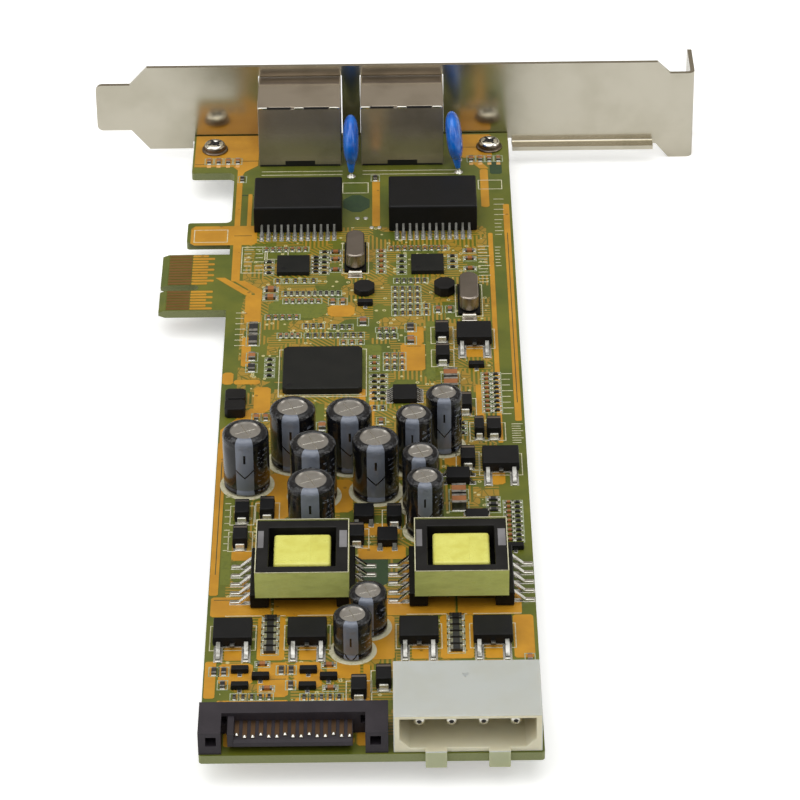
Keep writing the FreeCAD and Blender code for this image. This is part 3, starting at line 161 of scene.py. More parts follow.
class ShaderTree:
    """One material's or world's node tree, with short ways to add nodes."""

    def __init__(self, owner: bpy.types.Material | bpy.types.World) -> None:
        """Clear the owner's tree and keep it.

        Args:
            owner: the material or world to fill.
        """
        owner.use_nodes = True
        self.nodes = owner.node_tree.nodes
        self.links = owner.node_tree.links
        self.nodes.clear()

    def node(self, kind: str, settings: dict | None = None, inputs: "Sequence | dict | None" = None,
             output: "int | str" = 0) -> Value:
        """Add a node.

        Args:
            kind: the node's type name.
            settings: properties to set first; "stops" fills a colour ramp.
            inputs: values or links by position, or by name or index in a dict.
            output: which output comes back.

        Returns:
            The chosen output.
        """
        made = self.nodes.new(kind)
        for name, value in (settings or {}).items():
            setattr(made, name, value)
        pairs = inputs.items() if isinstance(inputs, dict) else enumerate(inputs or [])
        for key, value in pairs:
            if value is None:
                continue
            if isinstance(value, Value):
                self.links.new(value.socket, made.inputs[key])
            else:
                made.inputs[key].default_value = value
        return Value(self, made.outputs[output]) if made.outputs else Value(self, None)

    def mix(self, factor: "Value | float", first: "Value | Colour", second: "Value | Colour") -> Value:
        """Blend of two colours.

        Args:
            factor: 0 for the first, 1 for the second.
            first: colour at 0.
            second: colour at 1.

        Returns:
            The blended colour.
        """
        ends = [colour if isinstance(colour, Value) else (*colour, 1.0) for colour in (first, second)]
        return self.node("ShaderNodeMix", {"data_type": "RGBA"}, {0: factor, 6: ends[0], 7: ends[1]}, 2)

    def place(self) -> tuple[Value, Value, Value, Value]:
        """Position on the object, in millimetres.

        Returns:
            The vector, then its x, y and z.
        """
        spot = self.node("ShaderNodeTexCoord", output="Object")
        scaled = self.node("ShaderNodeVectorMath", {"operation": "SCALE"}, {0: spot, "Scale": 1 / MM})
        return scaled, *self.split(scaled)

    def split(self, vector: Value) -> tuple[Value, Value, Value]:
        """Take a vector apart.

        Args:
            vector: the vector's socket.

        Returns:
            Its x, y and z.
        """
        made = self.nodes.new("ShaderNodeSeparateXYZ")
        self.links.new(vector.socket, made.inputs[0])
        return tuple(Value(self, made.outputs[i]) for i in range(3))

    def facing(self) -> tuple[Value, Value, Value]:
        """The surface's normal, as three parts."""
        return self.split(self.node("ShaderNodeNewGeometry", output="Normal"))

    def noise(self, place: Value, scale: float, detail: float = 3.0, roughness: float = 0.55) -> Value:
        """Soft noise at so many waves to a millimetre."""
        return self.node("ShaderNodeTexNoise", None,
                         {"Vector": place, "Scale": scale, "Detail": detail, "Roughness": roughness}, 0)

    def cells(self, place: Value, scale: float, output: int = 0, **settings: str) -> Value:
        """Cell pattern in plan, at so many cells to a millimetre."""
        return self.node("ShaderNodeTexVoronoi", settings,
                         {"Vector": self.stretched(place, 1, 1, 0), "Scale": scale}, output)

    def stretched(self, place: Value, x: float, y: float, z: float) -> Value:
        """Place scaled by a factor along each axis."""
        return self.node("ShaderNodeVectorMath", {"operation": "MULTIPLY"}, [place, (x, y, z)])

    def bump(self, height: Value, strength: float, distance: float) -> Value:
        """Normal bent by a height."""
        return self.node("ShaderNodeBump", None, {"Height": height, "Strength": strength, "Distance": distance})

    def surface(self, sockets: dict) -> None:
        """Finish the tree with one Principled shader over the given sockets."""
        shader = self.node("ShaderNodeBsdfPrincipled", None, sockets)
        self.node("ShaderNodeOutputMaterial", None, [shader])


@dataclass(frozen=True)
class Finish:
    """A finish that builds its material once."""

    name: str

    def material(self) -> bpy.types.Material:
        """Find the finish's material, or make it on first use.

        Returns:
            The material.
        """
        title = f"{self.name}_finish"
        found = bpy.data.materials.get(title)
        if found is None:
            found = bpy.data.materials.new(title)
            self.paint(ShaderTree(found))
        return found

    def paint(self, tree: ShaderTree) -> None:
        """Fill the tree.

        Args:
            tree: the material's empty tree.
        """
        raise NotImplementedError


@dataclass(frozen=True)
class Metal(Finish):
    """Metal with fine drawn lines, cloudy tarnish and uneven gloss."""

    colour: Colour
    tarnish: Colour
    roughness: float = 0.25
    grain: float = 0.04
    grain_scale: tuple[float, float, float] = (0.3, 6.0, 6.0)
    cloud: float = 0.12
    metallic: float = 1.0

    def paint(self, tree: ShaderTree) -> None:
        """Fill the tree.

        Args:
            tree: the material's empty tree.
        """
        place, *_ = tree.place()
        lines = tree.noise(tree.stretched(place, *self.grain_scale), 1.0, 4.0)
        clouds = tree.noise(place, self.cloud, 4.0)
        colour = tree.mix(clouds.ramp(0.38, 0.72) * 0.75, self.colour, self.tarnish)
        rough = self.roughness + (lines - 0.5) * self.grain * 2 + (clouds - 0.5) * 0.1
        tree.surface({"Base Color": colour, "Metallic": self.metallic, "Roughness": rough.clamped(),
                      "Normal": tree.bump(lines, self.grain * 2, 0.02 * MM)})


@dataclass(frozen=True)
class Lead(Metal):
    """Tinned lead: bright on its flats, with painted shade on its faces that point along y."""

    painted_shade_colour: Colour = (0.07, 0.07, 0.06)

    def paint(self, tree: ShaderTree) -> None:
        """Fill the tree.

        Args:
            tree: the material's empty tree.
        """
        place, *_ = tree.place()
        clouds = tree.noise(place, self.cloud, 3.0)
        _, ahead, _ = tree.facing()
        # Painted shade: faces that point along y are darkened towards the shade colour.
        dull = abs(ahead).ramp(0.12, 0.55) * 0.9
        colour = tree.mix(clouds.ramp(0.42, 0.62) * 0.9, self.colour, self.tarnish)
        tree.surface({"Base Color": tree.mix(dull, colour, self.painted_shade_colour), "Metallic": 1.0,
                      "Roughness": (self.roughness + clouds * 0.1 + dull * 0.2).clamped(),
                      "Normal": tree.bump(clouds, self.grain, 0.02 * MM)})


@dataclass(frozen=True)
class Moulding(Finish):
    """Moulded plastic or resin with a fine spark-eroded texture and faint flow clouds."""

    colour: Colour
    lighter: Colour
    roughness: float = 0.45
    grain: float = 7.0
    depth: float = 0.12
    gloss: float = 0.5
    speckle: float = 0.0

    def paint(self, tree: ShaderTree) -> None:
        """Fill the tree.

        Args:
            tree: the material's empty tree.
        """
        place, *_ = tree.place()
        clouds = tree.noise(place, 0.18, 3.0)
        grit = tree.noise(place, self.grain, 2.0)
        colour = tree.mix(clouds.ramp(0.3, 0.8), self.colour, self.lighter)
        colour = tree.mix(grit.ramp(0.6, 0.8) * self.speckle, colour, self.lighter)
        rough = self.roughness + (grit - 0.5) * 0.15 + (clouds - 0.5) * 0.1
        tree.surface({"Base Color": colour, "Roughness": rough.clamped(), "Specular IOR Level": self.gloss,
                      "Normal": tree.bump(grit, self.depth, 0.03 * MM)})


@dataclass(frozen=True)
class Nylon(Finish):
    """Milky nylon that lets some light through."""

    colour: Colour
    warm: Colour

    def paint(self, tree: ShaderTree) -> None:
        """Fill the tree.

        Args:
            tree: the material's empty tree.
        """
        place, *_ = tree.place()
        clouds = tree.noise(place, 0.12, 3.0)
        grit = tree.noise(place, 5.0, 2.0)
        colour = tree.mix(clouds.ramp(0.35, 0.75) * 0.5, self.colour, self.warm)
        tree.surface({"Base Color": colour, "Roughness": 0.34 + grit * 0.12, "Subsurface Weight": 0.35,
                      "Subsurface Radius": (2.2 * MM, 1.9 * MM, 1.5 * MM), "Subsurface Scale": 1.0,
                      "Normal": tree.bump(grit, 0.1, 0.03 * MM)})


@dataclass(frozen=True)
class Tape(Finish):
    """Polyester tape with wrinkles, glue clouds and a line at each edge of a layer."""

    colour: Colour
    deeper: Colour
    layer: float = 0.9
    roughness: float = 0.22

    def paint(self, tree: ShaderTree) -> None:
        """Fill the tree.

        Args:
            tree: the material's empty tree.
        """
        place, _, _, height = tree.place()
        clouds = tree.noise(tree.stretched(place, 0.35, 0.35, 1.0), 0.9, 3.0)
        creases = tree.noise(tree.stretched(place, 1.6, 0.5, 0.5), 1.1, 2.0)
        colour = tree.mix(clouds.ramp(0.3, 0.75), self.colour, self.deeper)
        edge = (height.wrapped(self.layer) < 0.07) * 0.22
        colour = tree.mix(edge, colour, self.deeper)
        tree.surface({"Base Color": colour, "Roughness": self.roughness + clouds * 0.12,
                      "Normal": tree.bump(creases, 0.16, 0.08 * MM)})


@dataclass(frozen=True)
class Glazed(Finish):
    """Dipped coating: deep colour, thick gloss and a few pin holes."""

    colour: Colour
    deep: Colour

    def paint(self, tree: ShaderTree) -> None:
        """Fill the tree.

        Args:
            tree: the material's empty tree.
        """
        place, *_ = tree.place()
        clouds = tree.noise(place, 0.45, 3.0)
        orange = tree.noise(place, 2.2, 2.0)
        colour = tree.mix(clouds.ramp(0.3, 0.75), self.colour, self.deep)
        tree.surface({"Base Color": colour, "Roughness": 0.16 + orange * 0.12, "Coat Weight": 0.35,
                      "Coat Roughness": 0.08, "Normal": tree.bump(orange, 0.12, 0.06 * MM)})


@dataclass(frozen=True)
class Clear(Finish):
    """Clear moulded lens."""

    colour: Colour

    def paint(self, tree: ShaderTree) -> None:
        """Fill the tree.

        Args:
            tree: the material's empty tree.
        """
        place, *_ = tree.place()
        ribs = tree.noise(place, 2.0, 1.0)
        tree.surface({"Base Color": (*self.colour, 1.0), "Roughness": 0.12 + ribs * 0.1,
                      "Transmission Weight": 0.7, "IOR": 1.49})


@dataclass(frozen=True)
class Print(Finish):
    """Screened ink, worn thin in places."""

    colour: Colour
    worn: Colour

    def paint(self, tree: ShaderTree) -> None:
        """Fill the tree.

        Args:
            tree: the material's empty tree.
        """
        place, *_ = tree.place()
        thin = tree.noise(place, 1.4, 4.0)
        tree.surface({"Base Color": tree.mix(thin.ramp(0.45, 0.7) * 0.7, self.colour, self.worn),
                      "Roughness": 0.55 + thin * 0.1})


@dataclass(frozen=True)
class Laminate(Finish):
    """Board: plain resin round the rim, dense covered tracks in the working zone, fibre layers at the edges."""

    resin: Colour
    deep: Colour
    track: Colour
    cream: Colour
    fibre: Colour
    fibre_dark: Colour
    zone_low: tuple[float, float] = (-29.2, -103.0)
    zone_high: tuple[float, float] = (17.3, 57.8)
    track_pitch: float = 0.8
    track_width: float = 0.38
    slant_pitch: float = 1.1
    slant_width: float = 0.5
    pad_radius: float = 0.2
    hole_radius: float = 0.085
    layer: float = 0.2

    def tracks(self, tree: ShaderTree, place: Value) -> tuple[Value, Value]:
        """Where covered copper runs, and where it is cut by clearance lines.

        Args:
            tree: the material's tree.
            place: position in millimetres.

        Returns:
            The copper's mask and the clearance's mask.
        """
        x, y, _ = tree.split(place)
        pick, other, _ = tree.split(tree.cells(place, 0.24, 1, distance="CHEBYCHEV"))
        along = (y.wrapped(self.track_pitch) < self.track_width) * (pick < 0.28)
        across = (x.wrapped(self.track_pitch) < self.track_width) * pick.between(0.28, 0.52)
        slanted = ((x + y).wrapped(self.slant_pitch) < self.slant_width) * pick.between(0.52, 0.66)
        filled = pick > 0.66
        gap = (tree.cells(place, 0.62, feature="DISTANCE_TO_EDGE") < 0.045) * filled
        copper = (along + across + slanted + filled).clamped() * (other > 0.22)
        return copper, gap

    def paint(self, tree: ShaderTree) -> None:
        """Fill the tree.

        Args:
            tree: the material's empty tree.
        """
        place, x, y, height = tree.place()
        clouds = tree.noise(place, 0.09, 4.0)
        colour = tree.mix(clouds.ramp(0.35, 0.7), self.resin, self.deep)
        busy = x.between(self.zone_low[0], self.zone_high[0]) * y.between(self.zone_low[1], self.zone_high[1])
        copper, gap = self.tracks(tree, place)
        colour = tree.mix(copper * busy * 0.85, colour, self.track)
        colour = tree.mix(gap * busy * 0.8, colour, self.deep)
        holes = tree.cells(place, 0.55)
        colour = tree.mix((holes < self.pad_radius) * busy * 0.85, colour, self.cream)
        colour = tree.mix((holes < self.hole_radius) * busy, colour, self.fibre_dark)
        layers = height.wrapped(self.layer) < 0.07
        weave = tree.noise(tree.stretched(place, 3, 3, 9), 1.0, 2.0)
        edge_colour = tree.mix(layers * 0.5 + weave * 0.4, self.fibre, self.fibre_dark)
        _, _, up = tree.facing()
        flat = abs(up) > 0.5
        tree.surface({"Base Color": tree.mix(flat, edge_colour, colour), "Roughness": 0.62 - flat * 0.28,
                      "Normal": tree.bump(copper * busy + weave * 0.2, 0.2, 0.03 * MM)})


@dataclass(frozen=True)
class CoveredCopper(Finish):
    """Copper fill under resin: ochre clouds with darker drilled dots."""

    colour: Colour
    deep: Colour
    dot: Colour

    def paint(self, tree: ShaderTree) -> None:
        """Fill the tree.

        Args:
            tree: the material's empty tree.
        """
        place, *_ = tree.place()
        clouds = tree.noise(place, 0.16, 4.0)
        colour = tree.mix(clouds.ramp(0.3, 0.72), self.colour, self.deep)
        dots = tree.cells(place, 0.33)
        colour = tree.mix((dots < 0.1) * 0.7, colour, self.dot)
        tree.surface({"Base Color": colour, "Roughness": 0.3 + clouds * 0.12,
                      "Normal": tree.bump(dots.ramp(0.08, 0.14), 0.3, 0.03 * MM)})


@dataclass(frozen=True)
class Sleeve(Finish):
    """Shrink sleeve of a can: black, with a grey polarity stripe of dashes and chevrons, and worn generic marks."""

    colour: Colour
    stripe: Colour
    stripe_centre: float = 0.75
    stripe_half: float = 0.063
    repeat: float = 8.6
    dash: tuple[float, float] = (1.2, 2.9)
    dash_half: float = 0.008
    chevron_at: float = 5.9
    chevron_slope: float = 24.0
    chevron_half: float = 0.17
    mark_pitch: float = 1.15
    mark_depth: float = 0.6

    def paint(self, tree: ShaderTree) -> None:
        """Fill the tree.

        Args:
            tree: the material's empty tree.
        """
        turn, fall, _ = tree.split(tree.node("ShaderNodeUVMap", {"uv_map": "wrap"}))
        place, *_ = tree.place()
        side = turn - self.stripe_centre
        off = abs(side)
        beat = (fall - 1.6).wrapped(self.repeat)
        dash = (off < self.dash_half) * beat.between(*self.dash)
        chevron = (abs(beat - self.chevron_at + off * self.chevron_slope) < self.chevron_half)
        chevron = chevron * (off < self.stripe_half)
        ink = tree.mix((dash + chevron).clamped(), self.stripe, self.colour)
        clouds = tree.noise(place, 0.4, 3.0)
        dull = tree.mix(clouds.ramp(0.4, 0.8) * 0.5, self.colour, shade(34, 36, 42))
        blots = tree.noise(tree.stretched(place, 1.5, 1.5, 2.6), 1.0, 2.0).ramp(0.52, 0.58)
        rows = (fall.wrapped(self.mark_pitch) < self.mark_depth) * side.between(0.09, 0.2) * (fall > 1.9)
        dull = tree.mix(blots * rows * 0.7, dull, self.stripe)
        creases = tree.noise(place, 1.1, 2.0) * (1.0 - fall.ramp(1.0, 2.2))
        tree.surface({"Base Color": tree.mix(off < self.stripe_half, dull, ink), "Roughness": 0.16 + clouds * 0.08,
                      "Specular IOR Level": 0.4, "Coat Weight": 0.12, "Coat Roughness": 0.08,
                      "Normal": tree.bump(clouds * 0.3 + creases, 0.7, 0.3 * MM)})


class Look(Enum):
    """Every finish on the card."""

    BOARD = Laminate("board_laminate", shade(106, 110, 33), shade(82, 93, 27), shade(170, 132, 46),
                     shade(206, 196, 140), shade(150, 156, 104), shade(58, 62, 26))
    RESIN_BARE = Print("plain_resin", shade(106, 112, 32), shade(88, 98, 28))
    RESIN_DARK = Print("dark_resin", shade(44, 66, 34), shade(36, 56, 34))
    POUR = CoveredCopper("covered_copper", shade(204, 147, 38), shade(184, 129, 30), shade(128, 95, 31))
    PALE_PAD = Print("thin_covered_pad", shade(224, 172, 104), shade(206, 152, 84))
    INK = Print("cream_print", shade(212, 206, 176), shade(172, 166, 122))
    FAINT_INK = Print("grey_print", shade(168, 176, 146), shade(120, 128, 84))
    BRACKET = Metal("bracket_nickel", shade(206, 200, 184), shade(192, 186, 168), 0.2, 0.02)
    SHIELD = Metal("shield_tin", shade(186, 174, 156), shade(160, 148, 130), 0.22, 0.03, (0.2, 4.0, 4.0),
                   metallic=0.72)
    # Darker copy of the shield tin, for skirts and strips: painted shade.
    SHIELD_PAINTED_SHADE = Metal("shield_painted_shade", shade(122, 110, 98), shade(98, 88, 78), 0.3, 0.03, (4.0, 0.2, 4.0))
    BRIGHT = Metal("bright_tin", shade(226, 224, 216), shade(190, 186, 174), 0.2, 0.03, cloud=0.6)
    # Lead tin with painted shade on faces that point along y.
    LEG = Lead("lead_tin", shade(216, 214, 208), shade(138, 136, 128), 0.24, 0.06, cloud=0.8)
    SOLDER = Metal("solder", shade(224, 222, 214), shade(176, 172, 156), 0.26, 0.05, (1.5, 1.5, 1.5), 0.9, 0.6)
    GOLD = Metal("contact_gold", shade(178, 134, 84), shade(150, 112, 66), 0.36, 0.04)
    SPRING_GOLD = Metal("spring_gold", shade(226, 184, 96), shade(190, 146, 70), 0.2, 0.03)
    CAN_TOP = Metal("can_top", shade(206, 204, 200), shade(180, 176, 170), 0.3, 0.06, (2.0, 0.6, 2.0), 0.5)
    CRYSTAL = Metal("crystal_can", shade(160, 150, 140), shade(134, 126, 116), 0.32, 0.04)
    RESIN = Moulding("black_resin", shade(15, 15, 16), shade(22, 22, 23), 0.5, 8.0, 0.15, 0.2)
    MAGNETICS = Moulding("magnetics_shell", shade(13, 14, 15), shade(18, 18, 20), 0.42, 5.0, 0.1, 0.2)
    CHIP = Moulding("chip_resin", shade(22, 23, 21), shade(30, 30, 27), 0.5, 8.0, 0.12, 0.2, 0.2)
    PORT = Moulding("port_plastic", shade(18, 18, 18), shade(28, 28, 28), 0.5, gloss=0.3)
    FERRITE = Moulding("ferrite", shade(18, 17, 17), shade(30, 29, 28), 0.45, 4.0, 0.2, 0.2, 0.3)
    # Pale grey ferrite for painted glints on the transformer frames.
    FERRITE_PAINTED_GLINT = Moulding("ferrite_painted_glint", shade(112, 110, 112), shade(138, 136, 138), 0.35, 4.0, 0.1)
    FORMER = Moulding("coil_former", shade(13, 13, 12), shade(20, 20, 18), 0.45, gloss=0.15)
    PLUG = Moulding("plug_plastic", shade(42, 38, 43), shade(52, 47, 52), 0.5, 6.0, 0.15, 0.3)
    PLUG_BLADE = Metal("plug_blades", shade(120, 94, 70), shade(92, 74, 58), 0.4, 0.04)
    NYLON = Nylon("white_nylon", shade(187, 190, 185), shade(180, 180, 168))
    # Brighter, warmer nylon for the header's cavity: painted light.
    NYLON_PAINTED_GLOW = Nylon("nylon_painted_glow", shade(218, 212, 186), shade(206, 196, 162))
    # Darker, yellower nylon for the pegs under the board: painted shade.
    NYLON_PAINTED_SHADE = Nylon("nylon_painted_shade", shade(174, 178, 144), shade(158, 162, 120))
    BAND = Tape("band_tape", shade(202, 208, 122), shade(184, 190, 106), 1.1)
    WINDING = Tape("winding_tape", shade(228, 226, 118), shade(212, 206, 92), 0.9)
    BLUE = Glazed("blue_coating", shade(14, 116, 220), shade(8, 80, 180))
    LENS = Clear("clear_lens", shade(220, 226, 214))
    SLEEVE = Sleeve("can_sleeve", shade(15, 15, 18), shade(120, 126, 139))
    CERAMIC = Moulding("ceramic_body", shade(148, 90, 48), shade(172, 114, 66), 0.42, 9.0, 0.1)
    RESISTOR = Moulding("resistor_body", shade(30, 30, 32), shade(44, 44, 46), 0.38, 9.0, 0.1)
    RUBBER = Moulding("seal_rubber", shade(22, 20, 20), shade(30, 28, 28), 0.7)
    # Near-black fill for recesses, slots, notches and bores: painted shade.
    PAINTED_SHADE_FILL = Moulding("painted_shade_fill", shade(12, 11, 11), shade(18, 17, 16), 0.6)

    def material(self) -> bpy.types.Material:
        """The finish's material."""
        return self.value.material()


# ---- mesh building ------------------------------------------------------------------------------
class Form:
    """Shapes gathered in one mesh, in millimetres of the card frame, with bmesh operators."""

    def __init__(self, plan: "Plan") -> None:
        """Start empty.

        Args:
            plan: the card's datum, which turns card millimetres into metres.
        """
        self.plan = plan
        self.mesh = bmesh.new()

    def load(self, node: str) -> None:
        """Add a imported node's shape, with its flat faces joined up.

        Args:
            node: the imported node.
        """
        mesh = self.mesh
        mesh.from_mesh(bpy.data.objects[node].data)
        bmesh.ops.transform(mesh, matrix=self.plan.to_frame.inverted(), verts=mesh.verts)
        bmesh.ops.remove_doubles(mesh, verts=mesh.verts, dist=1e-3)
        bmesh.ops.dissolve_limit(mesh, angle_limit=math.radians(2), verts=mesh.verts, edges=mesh.edges)
        for face in mesh.faces:
            face.material_index = 0

    def take(self, part: bmesh.types.BMesh, look: int | None = 0, matrix: Matrix | None = None) -> None:
        """Move a finished part into this mesh.

        Args:
            part: the part, which is freed.
            look: index of the material; None leaves each face its own.
            matrix: a turn or move applied first.
        """
        if matrix is not None:
            bmesh.ops.transform(part, matrix=matrix, verts=part.verts)
        if look is not None:
            for face in part.faces:
                face.material_index = look
        held = bpy.data.meshes.new("part")
        part.to_mesh(held)
        part.free()
        self.mesh.from_mesh(held)
        bpy.data.meshes.remove(held)

    @staticmethod
    def soften(part: bmesh.types.BMesh, bevel: float, segments: int, least: float = 0.5) -> None:
        """Bevel a part's edges.

        Args:
            part: the part.
            bevel: edge width; nothing is done at zero.
            segments: steps across an edge.
            least: edges that bend less than this many radians are left.
        """
        if bevel <= 0:
            return
        edges = [e for e in part.edges if len(e.link_faces) == 2 and e.calc_face_angle(0) > least]
        bmesh.ops.bevel(part, geom=edges, offset=bevel, offset_type="OFFSET", segments=segments, profile=0.5,
                        affect="EDGES", clamp_overlap=True, material=-1)

    def block(self, low: Point, high: Point, bevel: float = 0.0, look: int = 0, segments: int = 1,
              matrix: Matrix | None = None) -> None:
        """Box between two corners, with softened edges.

        Args:
            low: lowest corner.
            high: highest corner.
            bevel: edge width.
            look: index of the material.
            segments: steps across the edge.
            matrix: a turn or move applied last.
        """
        part = bmesh.new()
        centre = (Vector(low) + Vector(high)) / 2
        size = Vector(high) - Vector(low)
        bmesh.ops.create_cube(part, size=1.0, matrix=Matrix.Translation(centre) @ Matrix.Diagonal((*size, 1)))
        self.soften(part, bevel, segments)
        self.take(part, look, matrix)

    def rod(self, start: Point, end: Point, radius: float, far_radius: float | None = None, sides: int = 12,
            bevel: float = 0.0, look: int = 0) -> None:
        """Round rod or cone between two points.

        Args:
            start: centre of the first end.
            end: centre of the other end.
            radius: at the start.
            far_radius: at the end; the same when left out.
            sides: facets round it.
            bevel: rounding of the end rims.
            look: index of the material.
        """
        part = bmesh.new()
        line = Vector(end) - Vector(start)
        bmesh.ops.create_cone(part, cap_ends=True, segments=sides, radius1=radius,
                              radius2=radius if far_radius is None else far_radius, depth=line.length)
        self.soften(part, bevel, 2, 0.9)
        turn = Vector((0, 0, 1)).rotation_difference(line).to_matrix().to_4x4()
        self.take(part, look, Matrix.Translation((Vector(start) + Vector(end)) / 2) @ turn)

    def lathe(self, profile: Profile, centre: Point, sides: int = 48, look: int = 0,
              matrix: Matrix | None = None, bands: Callable[[float, float], int] | None = None) -> None:
        """Solid of revolution about the vertical through a centre.

        Args:
            profile: radius and height of each point, from the axis to the axis.
            centre: what the heights start from.
            sides: facets round it.
            look: index of the material.
            matrix: a turn applied about the centre.
            bands: gives the material index from a face's radius and height.
        """
        part = bmesh.new()
        points = [part.verts.new((radius, 0, height)) for radius, height in profile]
        for first, second in zip(points, points[1:]):
            part.edges.new((first, second))
        bmesh.ops.spin(part, geom=part.verts[:] + part.edges[:], cent=(0, 0, 0), axis=(0, 0, 1), angle=FULL_TURN,
                       steps=sides, use_merge=True)
        bmesh.ops.remove_doubles(part, verts=part.verts, dist=1e-5)
        bmesh.ops.recalc_face_normals(part, faces=part.faces)
        wrap = part.loops.layers.uv.new("wrap")
        peak = max(height for _, height in profile)
        for face in part.faces:
            middle = face.calc_center_median()
            base = math.atan2(middle.y, middle.x)
            for loop in face.loops:
                spot = loop.vert.co
                turn = math.atan2(spot.y, spot.x) if spot.xy.length > 1e-4 else base
                turn = base + (turn - base + math.pi) % FULL_TURN - math.pi
                loop[wrap].uv = ((base / FULL_TURN) % 1.0 + (turn - base) / FULL_TURN, peak - spot.z)
            face.material_index = bands(middle.xy.length, middle.z) if bands else look
        self.take(part, None, Matrix.Translation(centre) @ (matrix or Matrix()))

    def plate(self, outline: Sequence[tuple[float, float]], low: float, high: float, look: int = 0,
              bevel: float = 0.0) -> None:
        """Flat plate of a given outline.

        Args:
            outline: corners in x and y.
            low: underside's height.
            high: upper side's height.
            look: index of the material.
            bevel: width of its softened edges.
        """
        part = bmesh.new()
        face = part.faces.new([part.verts.new((x, y, low)) for x, y in outline])
        raised = bmesh.ops.extrude_face_region(part, geom=[face])
        lifted = [g for g in raised["geom"] if isinstance(g, bmesh.types.BMVert)]
        bmesh.ops.translate(part, vec=(0, 0, high - low), verts=lifted)
        bmesh.ops.recalc_face_normals(part, faces=part.faces)
        self.soften(part, bevel, 1)
        self.take(part, look)

    def wire(self, points: Sequence[Point], radius: float, sides: int = 8, look: int = 0) -> None:
        """Round wire through points, with a ball at each bend.

        Args:
            points: the wire's ends and bends in order.
            radius: the wire's radius.
            sides: facets round it.
            look: index of the material.
        """
        for first, second in zip(points, points[1:]):
            self.rod(first, second, radius, sides=sides, look=look)
        for middle in points[1:-1]:
            part = bmesh.new()
            bmesh.ops.create_uvsphere(part, u_segments=sides, v_segments=max(4, sides // 2), radius=radius)
            self.take(part, look, Matrix.Translation(middle))

    def piece(self, name: str, looks: Sequence[Look], slot: str, replaced: Sequence[str] = (),
              smooth: float = 35.0) -> bpy.types.Object:
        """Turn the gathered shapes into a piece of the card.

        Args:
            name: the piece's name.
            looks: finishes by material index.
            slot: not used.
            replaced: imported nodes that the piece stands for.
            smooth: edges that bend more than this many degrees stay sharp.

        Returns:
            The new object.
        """
        bmesh.ops.transform(self.mesh, matrix=self.plan.to_frame, verts=self.mesh.verts)
        mesh = bpy.data.meshes.new(name)
        self.mesh.to_mesh(mesh)
        self.mesh.free()
        made = bpy.data.objects.new(name, mesh)
        bpy.context.scene.collection.objects.link(made)
        mesh.polygons.foreach_set("use_smooth", [True] * len(mesh.polygons))
        mesh.set_sharp_from_angle(angle=math.radians(smooth))
        for look in looks:
            mesh.materials.append(look.material())
        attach(made, BODY)
        if replaced:
            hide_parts(*replaced)
        LOG.info("%s: %d faces", name, len(mesh.polygons))
        return made


@dataclass
class Plan:
    """The card's datum: the bracket's foot tip, the board's end at the bracket, and its component face."""

    board_gap: float = 0.3
    origin: Vector = field(init=False)

    def __post_init__(self) -> None:
        """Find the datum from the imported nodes."""
        foot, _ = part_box("slot_bracket")
        _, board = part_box("circuit_board")
        self.origin = Vector((foot.x, board.y + self.board_gap * MM, board.z))

    @property
    def to_frame(self) -> Matrix:
        """Card millimetres to metres of the frame."""
        return Matrix.Translation(self.origin) @ Matrix.Scale(MM, 4)

    def box(self, node: str) -> tuple[Vector, Vector]:
        """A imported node's lowest and highest corners in card millimetres."""
        low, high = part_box(node)
        return (low - self.origin) / MM, (high - self.origin) / MM

    def solids(self, node: str) -> list[tuple[Vector, Vector]]:
        """Find the boxes of a group node's separate solids.

        Args:
            node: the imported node.

        Returns:
            Lowest and highest corner of each in card millimetres, ordered by y, x and z.
        """
        part = bmesh.new()
        part.from_mesh(bpy.data.objects[node].data)
        bmesh.ops.remove_doubles(part, verts=part.verts, dist=1e-6)
        waiting = set(part.verts)
        boxes = []
        while waiting:
            island = [waiting.pop()]
            for vert in island:
                for edge in vert.link_edges:
                    other = edge.other_vert(vert)
                    if other in waiting:
                        waiting.remove(other)
                        island.append(other)
            low = Vector(min(v.co[i] for v in island) for i in range(3))
            high = Vector(max(v.co[i] for v in island) for i in range(3))
            boxes.append(((low - self.origin) / MM, (high - self.origin) / MM))
        part.free()
        return sorted(boxes, key=lambda b: (round(b[0].y, 2), round(b[0].x, 2), round(b[0].z, 2)))

    def softened(self, node: str, name: str, look: Look, slot: str, bevel: float, segments: int = 2,
                 least: float = 32.0) -> bpy.types.Object:
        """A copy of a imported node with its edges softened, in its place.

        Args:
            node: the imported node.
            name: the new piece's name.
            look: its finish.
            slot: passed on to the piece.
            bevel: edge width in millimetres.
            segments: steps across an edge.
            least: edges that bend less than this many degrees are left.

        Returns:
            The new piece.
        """
        form = Form(self)
        form.load(node)
        form.soften(form.mesh, bevel, segments, math.radians(least))
        made = form.piece(name, [look], slot, [node])
        shading = made.modifiers.new("even_faces", "WEIGHTED_NORMAL")
        shading.mode = "FACE_AREA"
        shading.keep_sharp = True
        return made


def dress(node: str, look: Look) -> None:
    """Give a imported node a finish.

    Args:
        node: the node's name.
        look: its finish.
    """
    mesh = bpy.data.objects[node].data
    mesh.materials.clear()
    mesh.materials.append(look.material())


